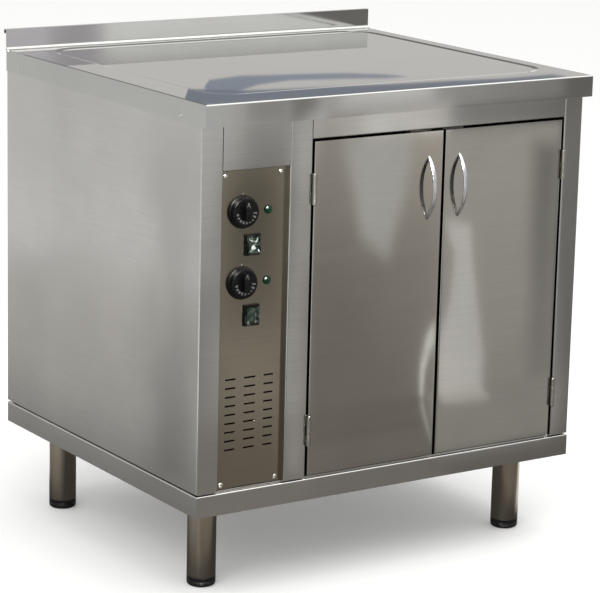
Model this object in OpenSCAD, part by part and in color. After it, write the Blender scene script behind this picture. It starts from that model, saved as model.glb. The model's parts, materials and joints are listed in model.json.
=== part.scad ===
// Plate warmer cabinet: a heated stainless worktop over a heated cupboard.
// X runs left to right, Y front to back, Z up. The floor is at zero height, and
// the worktop is centred over the origin.

/* [Worktop] */
// Width of the worktop, left to right
worktop_w = 800; // [780:10:1000]
// Depth of the worktop, front edge to upstand
worktop_d = 700; // [680:10:800]
// Height of the working surface above the floor
worktop_z = 850; // [830:5:950]
// Thickness of the worktop sheet
worktop_t = 1.5; // [1:0.1:2]
// Height of the folded apron round the edge
apron_h = 38; // [30:1:44]
// Outside radius of the folded edges
edge_r = 3; // [2.5:0.5:5]
// Height of the upstand above the surface
upstand_h = 37; // [25:1:60]
// Depth of the fold at the top of the upstand
upstand_return = 8; // [6:1:14]
// Radius of the cove at the foot of the upstand
cove_r = 6; // [3:1:10]
// How far the worktop reaches out over the front
front_overhang = 14; // [10:1:24]
// How far the worktop reaches out over the right side
right_overhang = 8.4; // [8:0.2:20]

/* [Heated field] */
// Plain margin left of the heated field
field_left = 68; // [50:1:90]
// Plain margin between the heated field and the body's right side
field_right = 26.6; // [20:0.2:50]
// Plain margin in front of the heated field
field_front = 85; // [70:1:110]
// Plain margin behind the heated field
field_back = 30; // [20:1:50]
// Corner radius of the heated field
field_r = 60; // [30:1:80]
// How far the field lies below the surface
field_drop = 1.5; // [1:0.5:3]

/* [Body] */
// Thickness of the body sheet
sheet_t = 1.2; // [1:0.1:1.5]
// Width of the left front stile
stile_left_w = 41.4; // [36:0.2:50]
// Width of the control recess
control_w = 131; // [126:1:150]
// Width of the middle post
middle_post_w = 43.5; // [38:0.5:50]
// Width of the right front stile
stile_right_w = 40.1; // [36:0.1:50]
// Height of the rail seen above the doors
rail_h = 36; // [30:1:44]
// Height of the fascia seen above the control panel
fascia_h = 77; // [70:1:90]
// How far the control panel lies behind the front
panel_recess = 10.5; // [8:0.5:14]
// Depth of the returns beside the door opening
return_d = 30; // [27:1:40]
// How far the back panel lies inside the rear edges
back_recess = 13; // [12:1:20]

/* [Base and legs] */
// Height of the skirt of the base tray
skirt_h = 38; // [30:1:50]
// Height of the shadow gap above the skirt
shadow_gap = 3; // [2:0.5:5]
// How far the shadow gap is set in
shadow_inset = 6; // [4:1:10]
// Clear height under the skirt
leg_h = 150; // [120:5:200]
// Diameter of a leg
leg_d = 50; // [40:1:60]
// Distance of the left legs from the left side
leg_left = 64; // [60:1:90]
// Distance of the right legs from the right side
leg_right = 70; // [60:1:90]
// Distance of the front legs from the front
leg_front = 86; // [60:1:110]
// Distance of the rear legs from the back
leg_back = 98.4; // [60:0.2:120]
// Height of a foot
foot_h = 16.7; // [12:0.1:25]
// Travel of an adjustable foot
foot_travel = 20; // [10:1:25]
// Diameter of the foot's screw
foot_screw_d = 12; // [10:1:16]

/* [Doors] */
// Width of the left door
door_left_w = 265; // [240:1:280]
// Thickness of a door
door_t = 22; // [20:1:26]
// Gap beside a door at its hinges
hinge_gap = 4.5; // [4.4:0.1:6]
// Gap between the two doors
meeting_gap = 5; // [4:0.5:7]
// Gap above a door
top_gap = 4; // [3:0.5:6]
// Gap between the body floor and a door
bottom_gap = 3; // [2:0.5:6]
// Radius of the folded door edges
door_r = 2.5; // [1.5:0.5:3]

/* [Hinges] */
// Length of a hinge
hinge_len = 52; // [40:1:70]
// Diameter of a hinge knuckle
knuckle_d = 8; // [7:0.5:10]
// Diameter of a hinge pin
hinge_pin_d = 3.4; // [2.4:0.1:4]
// Thickness of a hinge leaf
leaf_t = 1.5; // [1:0.1:1.6]
// Height of each hinge above or below the door's middle
hinge_offset = 209; // [150:1:230]

/* [Handles] */
// Overall length of a handle
handle_len = 111; // [96:1:140]
// How far a handle stands off the door
handle_reach = 22; // [18:1:30]
// Width of a handle
handle_w = 10; // [8:0.5:14]
// Thickness of a handle
handle_t = 4; // [3:0.5:6]
// Distance of a handle from the free edge of its door
handle_inset = 30; // [24:1:40]
// Height of the handles' middle above the door's middle
handle_rise = 191; // [120:1:210]

/* [Control panel] */
// Distance of the knobs from the left end of the panel
knob_x = 45.5; // [40:0.5:50]
// Distance of the lamps from the left end of the panel
lamp_x = 95; // [90:0.5:105]
// Distance of the switches from the left end of the panel
switch_x = 65; // [60:0.5:80]
// Distance of the upper knob from the top of the panel
control_row = 71.5; // [60:0.5:80]
// Distance between the two rows of controls
row_pitch = 120; // [112:1:140]
// Distance of a switch below its knob
switch_drop = 56.5; // [52:0.5:64]
// Diameter of a knob at the panel
knob_d = 56; // [48:1:62]
// Diameter of a knob's dial face
dial_d = 48; // [40:1:50]
// Height of a knob's dial above the panel
dial_h = 12; // [9:0.5:14]
// Height of a knob's grip above the panel
grip_h = 22; // [17:0.5:23]
// Diameter of a lamp lens
lamp_d = 15; // [12:0.5:20]
// Width of a switch frame
switch_w = 29; // [26:0.5:32]
// Height of a switch frame
switch_h = 36; // [34:0.5:42]
// Length of a vent slot
slot_len = 22.6; // [16:0.2:28]
// Height of a vent slot
slot_h = 3; // [2:0.5:5]
// Distance between the columns of slots
slot_pitch_x = 38.8; // [34:0.2:40]
// Distance between the rows of slots
slot_pitch_z = 15.2; // [10:0.2:18]
// Number of columns of slots
slot_columns = 3; // [2:1:3]
// Number of rows of slots
slot_rows = 9; // [4:1:10]
// Height of the lowest row of slots above the panel's foot
slot_rise = 67; // [50:1:90]
// Number of rows of slots in the back panel
rear_rows = 6; // [3:1:8]
// Distance of the panel screws from the panel's sides
screw_inset = 11.5; // [9:0.5:14]
// Distance of the upper panel screws below the panel's top
screw_top = 9.7; // [7:0.1:14]
// Distance of the lower panel screws above the panel's foot
screw_foot = 7.5; // [7:0.1:14]

/* [Heaters and shelves] */
// Diameter of a tubular heating element
element_d = 8; // [6:0.5:10]
// Distance between the runs of the cupboard's heating element
chamber_pitch = 105; // [90:1:120]
// Depth of the tray that holds the upper heater
tray_d = 44; // [35:1:55]
// Height of the lower shelf above the body floor
lower_shelf_z = 50; // [40:1:80]
// Height of the upper shelf above the body floor
upper_shelf_z = 300; // [200:5:400]
// Depth of the cupboard behind the front
cupboard_d = 636; // [500:1:640]
// Outside diameter of the cable gland's bore
gland_bore = 10; // [8:0.5:14]
// Height of the cable gland above the body floor
gland_rise = 70; // [60:1:120]

/* [Hidden] */
$fn = 48;

// Clearances
lid_gap = 0.1;
body_gap = 0.3;
running = 0.05;

// Worktop
top_x0 = -worktop_w / 2;
top_x1 = worktop_w / 2;
top_y0 = -worktop_d / 2;
top_y1 = worktop_d / 2;
apron_z = worktop_z - apron_h;
under_z = worktop_z - worktop_t;
field_x0 = top_x0 + field_left;
field_y0 = top_y0 + field_front;
field_y1 = top_y1 - field_back;
field_under_z = under_z - field_drop;

// Body: the worktop's apron laps over its left side and its back
body_x0 = top_x0 + worktop_t + lid_gap;
body_x1 = top_x1 - right_overhang;
body_w = body_x1 - body_x0;
field_x1 = body_x1 - field_right;
body_y0 = top_y0 + front_overhang;
body_y1 = top_y1 - worktop_t - lid_gap;
skirt_z = leg_h + skirt_h;
floor_z = skirt_z + shadow_gap;

// Front layout, left to right
panel_x0 = body_x0 + stile_left_w;
panel_x1 = panel_x0 + control_w;
opening_x0 = panel_x1 + middle_post_w;
opening_x1 = body_x1 - stile_right_w;
rail_z = apron_z - rail_h;
fascia_z = apron_z - fascia_h;
panel_y = body_y0 + panel_recess;
flange_w = 18;
return_y = body_y0 + return_d;
back_y = body_y1 - back_recess;

// Doors
door_z0 = floor_z + bottom_gap;
door_z1 = rail_z - top_gap;
door_mid_z = (door_z0 + door_z1) / 2;
left_x0 = opening_x0 + hinge_gap;
left_x1 = left_x0 + door_left_w;
right_x0 = left_x1 + meeting_gap;
right_x1 = opening_x1 - hinge_gap;
door_back_y = body_y0 + door_t;
liner_edge = 10;

// Hinges
barrel_gap = 0.4;
barrel_y = body_y0 - knuckle_d / 2 - barrel_gap;
knuckle_len = (hinge_len - 2 * body_gap) / 3;
pin_head_d = hinge_pin_d + 2;
pin_head_t = 1;

// Chamber
liner_x0 = opening_x0 - sheet_t;
liner_x1 = opening_x1 + sheet_t;
liner_y1 = body_y0 + cupboard_d;

// Upper heater
tray_margin = 7;
tray_x0 = field_x0 + tray_margin;
tray_x1 = field_x1 - tray_margin;
tray_y0 = field_y0 + tray_margin;
tray_y1 = field_y1 - tray_margin;
tray_z = field_under_z - tray_d;
tray_t = 1;
top_element_z = field_under_z - element_d / 2;
top_loops = 6;
top_tail_in = 45;
top_tail_len = 12;
top_run_end = 60;
top_run_side = 50;
top_tail_x = tray_x0 + top_tail_in;
top_runs_x = [top_tail_x + top_tail_len, tray_x1 - top_run_end];
top_runs_y = [tray_y0 + top_run_side, tray_y1 - top_run_side];

// Chamber heater
chamber_element_z = floor_z + 23;
chamber_loops = 4;
chamber_tail_len = 27.5;
chamber_run_start = 26.5;
chamber_run_end = 87.5;
chamber_run_front = 191;
chamber_tail_x = opening_x0 - chamber_tail_len;
chamber_runs_x = [opening_x0 + chamber_run_start, opening_x1 - chamber_run_end];
chamber_runs_y = [body_y0 + chamber_run_front, body_y0 + chamber_run_front + 3 * chamber_pitch];
collar_d = element_d + 12;

// Shelves
shelf_fit = 1;
shelf_edge = 15;
shelf_y0 = door_back_y + 18;
shelf_y1 = liner_y1 - 5;
rail_leg = 15;
shelf_slot_len = 64;
shelf_slot_w = 8;

// Controls
control_z = fascia_z - control_row;
rows_z = [control_z, control_z - row_pitch];
panel_z1 = fascia_z - lid_gap;
panel_z0 = floor_z + body_gap;
panel_back_y = panel_y + worktop_t;
spindle_d = 6;
spindle_end_y = panel_back_y + 14;
bush_d = 10;
thermostat_size = [44, 27, 34];
bulb_d = 6;
capillary_d = 2;
lamp_barrel_d = 12;
frame_t = 4;
cover_t = 0.8;
cover_reach = 8.7;
rocker_r = 13.2;
rocker_w = 20;
rocker_tilt = 10;
rocker_pivot = 1;
trunnion_d = 3;
trunnion_l = 1.4;
housing_size = [26, 20, 31];
screw_head_d = 8;

// Base and legs
plate_t = 4;
plate_w = 90;
plate_z = floor_z - worktop_t - plate_t;
leg_xs = [body_x0 + leg_left, body_x1 - leg_right];
leg_ys = [body_y0 + leg_front, body_y1 - leg_back];
leg_t = 1.5;
leg_z = foot_h + body_gap;
nut_t = 14;
foot_r = 6;

// Cable gland
gland_x = panel_x0 + 60;
gland_z = floor_z + gland_rise;
gland_body_d = gland_bore + 8;
gland_hex = gland_bore + 14;

// The two values at the same distance on either side of a middle one
function around(middle, half) = [middle - half, middle + half];

// A block between two corners
module block(x, y, z) {
    translate([x[0], y[0], z[0]])
        cube([x[1] - x[0], y[1] - y[0], z[1] - z[0]]);
}

// What a rounded corner of radius r at the origin takes away
module corner_cut(r) {
    difference() {
        translate([-1, -1]) square(r + 1);
        translate([r, r]) circle(r);
    }
}

// A rectangle with rounded corners: front left, front right, back right, back left
module rounded(w, h, r) {
    difference() {
        square([w, h]);
        if (r[0] > 0) corner_cut(r[0]);
        if (r[1] > 0) translate([w, 0]) mirror([1, 0]) corner_cut(r[1]);
        if (r[2] > 0) translate([w, h]) mirror([1, 0]) mirror([0, 1]) corner_cut(r[2]);
        if (r[3] > 0) translate([0, h]) mirror([0, 1]) corner_cut(r[3]);
    }
}

// A slot with round ends, centred, along X
module slot_outline(length, width) {
    square([length - width, width], center = true);
    for (side = [-1, 1]) translate([side * (length - width) / 2, 0]) circle(d = width);
}

// Extrusions of a YZ profile along X, and of an XZ profile along Y
module along_x(x0, x1) {
    translate([x0, 0, 0]) rotate([90, 0, 90]) linear_extrude(x1 - x0) children();
}
module along_y(y0, y1) {
    translate([0, y1, 0]) rotate([90, 0, 0]) linear_extrude(y1 - y0) children();
}

// A cylinder along Y from y0 to y1
module rod_y(x, z, y0, y1, d) {
    translate([x, y0, z]) rotate([-90, 0, 0]) cylinder(d = d, h = y1 - y0);
}

// A round tube or wire through the points, with ball corners
module route(points, d) {
    for (i = [0 : len(points) - 2]) {
        step = points[i + 1] - points[i];
        length = norm(step);
        translate(points[i])
            rotate([0, acos(step[2] / length), atan2(step[1], step[0])])
                cylinder(d = d, h = length);
    }
    for (i = [1 : len(points) - 2]) translate(points[i]) sphere(d = d);
}

// The outline of the worktop's end, with its upstand
module worktop_profile() {
    translate([top_y0, apron_z])
        rounded(worktop_d, apron_h, [0, 0, 0, edge_r]);
    translate([top_y1 - worktop_t, apron_z]) square([worktop_t, apron_h + upstand_h]);
    translate([top_y1 - worktop_t, worktop_z + upstand_h - worktop_t])
        square([upstand_return + worktop_t, worktop_t]);
    translate([top_y1 + upstand_return - worktop_t, worktop_z + upstand_h - upstand_return])
        square([worktop_t, upstand_return]);
    translate([top_y1 - worktop_t, worktop_z]) mirror([1, 0]) difference() {
        square(cove_r);
        translate([cove_r, cove_r]) circle(cove_r);
    }
}

// The heated field's outline, drawn in by a margin
module field_outline(inset) {
    r = field_r - inset;
    translate([field_x0 + inset, field_y0 + inset])
        rounded(field_x1 - field_x0 - 2 * inset, field_y1 - field_y0 - 2 * inset, [r, r, r, r]);
}

module worktop() {
    apron_return = 11;
    color("lightgray") difference() {
        union() {
            difference() {
                intersection() {
                    along_x(top_x0, top_x1) worktop_profile();
                    union() {
                        along_y(top_y0, top_y1)
                            translate([top_x0, apron_z])
                                rounded(worktop_w, apron_h, [0, 0, edge_r, edge_r]);
                        block([top_x0, top_x1], [top_y1 - worktop_t - cove_r, top_y1 + upstand_return],
                            [worktop_z - edge_r, worktop_z + upstand_h]);
                    }
                }
                block([top_x0 + worktop_t, top_x1 - worktop_t], [top_y0 + worktop_t, top_y1 + 1],
                    [apron_z + worktop_t, under_z]);
                block([top_x0 + worktop_t, top_x1 - worktop_t], [top_y0 + apron_return, top_y1 + 1],
                    [apron_z - 1, apron_z + worktop_t + 1]);
                block([top_x0 - 1, top_x1 + 1], [top_y1 - worktop_t, top_y1 + 1], [apron_z - 1, under_z]);
            }
            translate([0, 0, field_under_z]) linear_extrude(worktop_t) field_outline(-worktop_t);
        }
        translate([0, 0, worktop_z - field_drop]) linear_extrude(field_drop + 1) field_outline(0);
    }
}

module base_tray() {
    hem = 12;
    inner = shadow_inset + worktop_t;
    x = [body_x0, body_x1];
    y = [body_y0, body_y1];
    z0 = leg_h;
    depth = body_y1 - body_y0;
    color("darkgray") difference() {
        union() {
            intersection() {
                along_x(x[0], x[1]) translate([y[0], z0]) rounded(depth, skirt_h, [0, 0, edge_r, edge_r]);
                along_y(y[0], y[1]) translate([x[0], z0]) rounded(body_w, skirt_h, [0, 0, edge_r, edge_r]);
            }
            block([x[0] + shadow_inset, x[1] - shadow_inset], [y[0] + shadow_inset, y[1] - shadow_inset],
                [skirt_z - 1, floor_z]);
        }
        block([x[0] + worktop_t, x[1] - worktop_t], [y[0] + worktop_t, y[1] - worktop_t],
            [z0 + worktop_t, skirt_z - worktop_t]);
        block([x[0] + hem, x[1] - hem], [y[0] + hem, y[1] - hem], [z0 - 1, z0 + 2 * worktop_t]);
        block([x[0] + inner, x[1] - inner], [y[0] + inner, y[1] - inner],
            [skirt_z - 2 * worktop_t, floor_z - worktop_t]);
    }
}

// A side panel with its front stile folded on, drawn at the left of the body.
// reach is how far the stile's return goes back.
module side_panel(stile_w, reach, flange) {
    depth = body_y1 - body_y0;
    lip = 15;
    translate([0, 0, floor_z]) linear_extrude(under_z - floor_z) difference() {
        rounded(stile_w, depth, [edge_r, door_r, 0, 0]);
        translate([sheet_t, sheet_t])
            rounded(stile_w - 2 * sheet_t, depth, [edge_r - sheet_t, door_r - sheet_t, 0, 0]);
        translate([sheet_t, reach]) square([stile_w, depth]);
    }
    if (flange > 0)
        block([stile_w - sheet_t, stile_w + flange], [reach - sheet_t, reach], [floor_z, fascia_z]);
    for (z = [floor_z, under_z - sheet_t])
        block([sheet_t, lip], [sheet_t + return_d, depth - back_recess - lip], [z, z + sheet_t]);
}

module side_panel_left() {
    color("silver") translate([body_x0, body_y0, 0])
        side_panel(stile_left_w, panel_recess + worktop_t + sheet_t, flange_w);
}

module side_panel_right() {
    color("silver") translate([body_x1, body_y0, 0]) mirror([1, 0, 0])
        side_panel(stile_right_w, return_d, 0);
}

module back_panel() {
    x = [body_x0 + sheet_t, body_x1 - sheet_t];
    color("silver") difference() {
        block(x, [back_y - sheet_t, body_y1], [floor_z, under_z]);
        block([x[0] + sheet_t, x[1] - sheet_t], [back_y, body_y1 + 1],
            [floor_z + sheet_t, under_z - sheet_t]);
        rod_y(gland_x, gland_z, back_y - 2 * sheet_t, back_y + 1, gland_body_d + 2 * running);
        translate([0, 0, control_z]) vents(back_y - 2 * sheet_t, back_y + 1, rear_rows);
    }
}

module middle_post() {
    front_d = panel_recess + worktop_t + sheet_t;
    color("gray") translate([panel_x1, body_y0, 0]) {
        translate([0, 0, floor_z]) linear_extrude(under_z - floor_z) difference() {
            rounded(middle_post_w, return_d, [door_r, door_r, 0, 0]);
            translate([sheet_t, sheet_t])
                rounded(middle_post_w - 2 * sheet_t, return_d,
                    [door_r - sheet_t, door_r - sheet_t, 0, 0]);
            translate([-1, front_d]) square([sheet_t + 2, return_d]);
        }
        block([-flange_w, sheet_t], [front_d - sheet_t, front_d], [floor_z, fascia_z]);
    }
}

// A front rail with its lower edge folded back
module front_rail(x0, x1, z0, reach) {
    height = under_z - z0;
    along_x(x0, x1) translate([body_y0, z0]) difference() {
        rounded(reach, height, [door_r, 0, 0, 0]);
        translate([sheet_t, sheet_t]) rounded(reach, height, [door_r - sheet_t, 0, 0, 0]);
    }
}

module top_rail() {
    color("gray") front_rail(opening_x0, opening_x1, rail_z, return_d);
}

module panel_fascia() {
    color("gray") front_rail(panel_x0, panel_x1, fascia_z, panel_recess + worktop_t + sheet_t);
}

// The four corners at which the control panel is screwed down
module at_panel_screws() {
    for (x = [panel_x0 + screw_inset, panel_x1 - screw_inset])
        for (z = [panel_z0 + screw_foot, panel_z1 - screw_top])
            translate([x, panel_y, z]) children();
}

module control_panel() {
    fit = lid_gap;
    color("dimgray") difference() {
        block([panel_x0 + fit, panel_x1 - fit], [panel_y, panel_back_y], [panel_z0, panel_z1]);
        for (z = rows_z) {
            rod_y(panel_x0 + knob_x, z, panel_y - 1, panel_back_y + 1, bush_d + 2 * running);
            rod_y(panel_x0 + lamp_x, z, panel_y - 1, panel_back_y + 1, lamp_barrel_d + 2 * running);
            block(around(panel_x0 + switch_x, housing_size[0] / 2 + running),
                [panel_y - 1, panel_back_y + 1],
                around(z - switch_drop, housing_size[2] / 2 + running));
        }
        at_panel_screws() rotate([90, 0, 0]) cylinder(d = 4.2, h = 4 * worktop_t, center = true);
        translate([0, 0, panel_z0 + slot_rise]) vents(panel_y - 1, panel_back_y + 1, slot_rows);
    }
}

// A field of slots in front of the control bay, from y0 to y1, with its lowest
// row at zero height
module vents(y0, y1, rows) {
    middle_x = (panel_x0 + panel_x1) / 2;
    first_x = middle_x - slot_pitch_x * (slot_columns - 1) / 2;
    along_y(y0, y1)
        for (column = [0 : slot_columns - 1], row = [0 : rows - 1])
            translate([first_x + column * slot_pitch_x, row * slot_pitch_z])
                slot_outline(slot_len, slot_h);
}

module control_panel_screws() {
    head_t = 2.2;
    color("silver") at_panel_screws() rotate([90, 0, 0]) {
        difference() {
            intersection() {
                cylinder(d = screw_head_d, h = head_t);
                translate([0, 0, head_t - screw_head_d * 0.75]) sphere(d = screw_head_d * 1.5);
            }
            for (turn = [0, 90]) rotate([0, 0, turn])
                translate([-screw_head_d * 0.3, -0.5, head_t - 1]) cube([screw_head_d * 0.6, 1, 2]);
        }
        translate([0, 0, -worktop_t]) cylinder(d = 4, h = worktop_t);
    }
}

module apron_rivets() {
    rivet_d = 5;
    head_t = 1.2;
    color("silver") for (side = [0, 1], y = [top_y0 + 80, top_y1 - 50])
        mirror([side, 0, 0]) translate([top_x0, y, apron_z + 8.5]) rotate([0, -90, 0]) intersection() {
            cylinder(d = rivet_d, h = head_t);
            translate([0, 0, head_t - rivet_d]) sphere(r = rivet_d);
        }
}

module chamber_liner() {
    stand_w = 3;
    stand_x = [opening_x0 + 120, opening_x1 - 130];
    color("silver") {
        difference() {
            block([liner_x0, liner_x1], [return_y, liner_y1 + sheet_t], [floor_z, rail_z]);
            block([opening_x0, opening_x1], [return_y - 1, liner_y1], [floor_z + sheet_t, rail_z + 1]);
            for (y = chamber_runs_y)
                translate([liner_x0 - 1, y, chamber_element_z]) rotate([0, 90, 0])
                    cylinder(d = element_d + 2 * running, h = sheet_t + 2);
            translate([liner_x0 - 1, bulb_y(), rows_z[1]]) rotate([0, 90, 0])
                cylinder(d = capillary_d + 2 * body_gap, h = sheet_t + 2);
        }
        for (x = stand_x)
            block([x, x + stand_w], [chamber_runs_y[0] - 10, chamber_runs_y[1] + 10],
                [floor_z + sheet_t, chamber_element_z - element_d / 2]);
    }
}

module chamber_ceiling() {
    color("silver") block([liner_x0, liner_x1], [return_y, liner_y1 + sheet_t], [rail_z, rail_z + sheet_t]);
}

module chamber_insulation() {
    color("khaki") {
        block([liner_x1, body_x1 - sheet_t], [return_y, back_y - sheet_t], [floor_z + 2 * sheet_t, rail_z]);
        block([liner_x0, liner_x1], [liner_y1 + sheet_t, back_y - sheet_t], [floor_z, rail_z]);
    }
}

// One tube bent to and fro in runs along X, in a level plane. Its bends reach
// from xs[0] to xs[1], and its two ends run on to tail_x.
module serpentine(tail_x, xs, ys, loops, z) {
    pitch = (ys[1] - ys[0]) / (loops - 1);
    bend_r = pitch / 2;
    for (i = [0 : loops - 1]) {
        start = i == 0 || i == loops - 1 ? tail_x : xs[0] + bend_r;
        translate([start, ys[0] + i * pitch, z]) rotate([0, 90, 0])
            cylinder(d = element_d, h = xs[1] - bend_r - start);
    }
    for (i = [0 : loops - 2])
        translate([i % 2 == 0 ? xs[1] - bend_r : xs[0] + bend_r, ys[0] + (i + 0.5) * pitch, z])
            rotate([0, 0, i % 2 == 0 ? -90 : 90])
                rotate_extrude(angle = 180) translate([bend_r, 0]) circle(d = element_d);
}

// The turned-down ends of the upper element
tail_r = 14;
tail_z = tray_z - 16;

module top_element() {
    color("dimgray") {
        serpentine(top_tail_x, top_runs_x, top_runs_y, top_loops, top_element_z);
        for (y = top_runs_y) {
            translate([top_tail_x, y, top_element_z - tail_r]) rotate([90, 0, 0])
                rotate([0, 0, 90]) rotate_extrude(angle = 90) translate([tail_r, 0]) circle(d = element_d);
            translate([top_tail_x - tail_r, y, tail_z])
                cylinder(d = element_d, h = top_element_z - tail_r - tail_z);
        }
    }
}

// What the tails, and the upper thermostat's capillary, pass through
module tail_holes(gap) {
    for (y = top_runs_y)
        translate([top_tail_x - tail_r, y, tray_z - 1])
            cylinder(d = element_d + 2 * gap, h = tray_d + 2);
    translate([upper_bulb_x(), bulb_y(), tray_z - 1]) cylinder(d = bulb_d + 2 * gap, h = tray_d + 2);
}

module heater_tray() {
    rim = 12;
    color("silver") difference() {
        block([tray_x0, tray_x1], [tray_y0, tray_y1], [tray_z, field_under_z]);
        block([tray_x0 + tray_t, tray_x1 - tray_t], [tray_y0 + tray_t, tray_y1 - tray_t],
            [tray_z + tray_t, field_under_z + 1]);
        tail_holes(running);
    }
}

module top_insulation() {
    pocket = [top_tail_x - tail_r - element_d, top_tail_x + 2];
    color("khaki") difference() {
        block([tray_x0 + tray_t, tray_x1 - tray_t], [tray_y0 + tray_t, tray_y1 - tray_t],
            [tray_z + tray_t, field_under_z - element_d]);
        tail_holes(body_gap);
        for (y = top_runs_y)
            block(pocket, around(y, element_d / 2 + body_gap),
                [top_element_z - tail_r - element_d, field_under_z]);
    }
}

module chamber_element() {
    color("dimgray") {
        serpentine(chamber_tail_x, chamber_runs_x, chamber_runs_y, chamber_loops, chamber_element_z);
        for (y = chamber_runs_y, x = [liner_x0 - 3, opening_x0])
            translate([x, y, chamber_element_z]) rotate([0, 90, 0]) cylinder(d = collar_d, h = 3);
    }
}

// A slotted shelf with turned-down front and back edges
module shelf(top_z) {
    x = [opening_x0 + shelf_fit, opening_x1 - shelf_fit];
    y = [shelf_y0, shelf_y1];
    columns = 6;
    rows = 12;
    pitch_x = (x[1] - x[0]) / (columns + 0.2);
    pitch_y = (y[1] - y[0] - 2 * shelf_edge) / rows;
    difference() {
        union() {
            block(x, y, [top_z - sheet_t, top_z]);
            for (edge = [[y[0], y[0] + sheet_t], [y[1] - sheet_t, y[1]]])
                block([x[0] + rail_leg + 1, x[1] - rail_leg - 1], edge, [top_z - shelf_edge, top_z]);
        }
        translate([0, 0, top_z - 2 * sheet_t]) linear_extrude(4 * sheet_t)
            for (i = [0 : columns - 1], j = [0 : rows - 1])
                translate([(x[0] + x[1]) / 2 + (i - (columns - 1) / 2) * pitch_x,
                    (y[0] + y[1]) / 2 + (j - (rows - 1) / 2) * pitch_y])
                    slot_outline(shelf_slot_len, shelf_slot_w);
    }
}

module lower_shelf() {
    color("lightgray") shelf(floor_z + lower_shelf_z);
}

module upper_shelf() {
    color("lightgray") shelf(floor_z + upper_shelf_z);
}

// The angles on the chamber's side walls that carry the shelves
module shelf_rails() {
    y = [shelf_y0, shelf_y1];
    color("silver") for (rise = [lower_shelf_z, upper_shelf_z])
        for (side = [0, 1])
            translate([side == 0 ? opening_x0 : opening_x1, 0, floor_z + rise - sheet_t])
                mirror([side, 0, 0]) {
                    block([0, rail_leg], y, [-sheet_t, 0]);
                    block([0, sheet_t], y, [-rail_leg, 0]);
                }
}

// A door skin: the front sheet with all four edges folded back
module door_skin(x) {
    w = x[1] - x[0];
    difference() {
        translate([x[0], body_y0, door_z0]) linear_extrude(door_z1 - door_z0)
            rounded(w, door_t, [door_r, door_r, 0, 0]);
        translate([x[0] + sheet_t, body_y0 + sheet_t, door_z0 + sheet_t])
            linear_extrude(door_z1 - door_z0 - 2 * sheet_t)
                rounded(w - 2 * sheet_t, door_t, [door_r - sheet_t, door_r - sheet_t, 0, 0]);
    }
}

// A door liner: a shallow tray that closes the back of the skin
module door_liner(x) {
    z = [door_z0 + sheet_t, door_z1 - sheet_t];
    inside = [x[0] + sheet_t, x[1] - sheet_t];
    difference() {
        block(inside, [door_back_y - liner_edge, door_back_y], z);
        block(inside + [sheet_t, -sheet_t], [door_back_y - liner_edge - 1, door_back_y - sheet_t],
            z + [sheet_t, -sheet_t]);
    }
}

module door_left_skin() {
    color("gray") door_skin([left_x0, left_x1]);
}

module door_left_liner() {
    color("lightgray") door_liner([left_x0, left_x1]);
}

module door_right_skin() {
    color("gray") door_skin([right_x0, right_x1]);
}

module door_right_liner() {
    color("lightgray") door_liner([right_x0, right_x1]);
}

// A bow handle: the part of a flat ring that stands out of the door
module handle(x) {
    ring_r = (pow(handle_len / 2, 2) + pow(handle_reach, 2)) / (2 * handle_reach);
    edge = 1.4;
    middle_z = door_mid_z + handle_rise;
    color("whitesmoke") intersection() {
        translate([x, body_y0 - handle_reach + ring_r, middle_z]) rotate([0, 90, 0])
            rotate_extrude() translate([ring_r, -handle_w / 2]) rotate([0, 0, 90])
                rounded(handle_w, handle_t, [edge, edge, 0, 0]);
        block(around(x, handle_w), [body_y0 - handle_reach - 1, body_y0],
            around(middle_z, handle_len));
    }
}

module handle_left() {
    handle(left_x1 - handle_inset);
}

module handle_right() {
    handle(right_x0 + handle_inset);
}

// Places its children at both hinges of a door, at the hinge's lower end
module at_hinges(opening_edge, way) {
    for (z = around(door_mid_z, hinge_offset))
        translate([opening_edge + way * hinge_gap / 2, barrel_y, z - hinge_len / 2])
            mirror([way == 1 ? 0 : 1, 0, 0]) children();
}

// A leaf in the gap beside the door, drawn for a left door.
// side is -1 for the post's leaf and 1 for the door's leaf.
module leaf(side, depth, knuckles, bore) {
    outer = hinge_gap / 2;
    x = side == 1 ? [outer - leaf_t, outer] : [-outer, leaf_t - outer];
    start = body_y0 + door_r - barrel_y;
    step = knuckle_len + body_gap;
    difference() {
        union() {
            block(x, [start, start + depth], [0, hinge_len]);
            for (i = knuckles) {
                block(x, [0, start], [i * step, i * step + knuckle_len]);
                translate([0, 0, i * step]) cylinder(d = knuckle_d, h = knuckle_len);
            }
        }
        translate([0, 0, -1]) cylinder(d = bore, h = hinge_len + 2);
    }
}

module hinge_post_leaves_left() {
    color("silver") at_hinges(opening_x0, 1) leaf(-1, return_d - door_r - 2, [0, 2], hinge_pin_d);
}

module hinge_post_leaves_right() {
    color("silver") at_hinges(opening_x1, -1) leaf(-1, return_d - door_r - 2, [0, 2], hinge_pin_d);
}

module hinge_door_leaves_left() {
    color("silver") at_hinges(opening_x0, 1)
        leaf(1, door_t - door_r - 2, [1], hinge_pin_d + 2 * running);
}

module hinge_door_leaves_right() {
    color("silver") at_hinges(opening_x1, -1)
        leaf(1, door_t - door_r - 2, [1], hinge_pin_d + 2 * running);
}

module hinge_pin() {
    cylinder(d = hinge_pin_d, h = hinge_len);
    for (z = [-pin_head_t, hinge_len]) translate([0, 0, z]) cylinder(d = pin_head_d, h = pin_head_t);
}

module hinge_pins() {
    color("whitesmoke") {
        at_hinges(opening_x0, 1) hinge_pin();
        at_hinges(opening_x1, -1) hinge_pin();
    }
}

// Magnetic catches under the rail, and their strike plates on the doors
strike_t = 1.5;
catch_w = 44;
catch_h = 14;
catch_d = 14;
catch_inset = 32;
catch_xs = [left_x1 - catch_inset, right_x0 + catch_inset];

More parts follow.
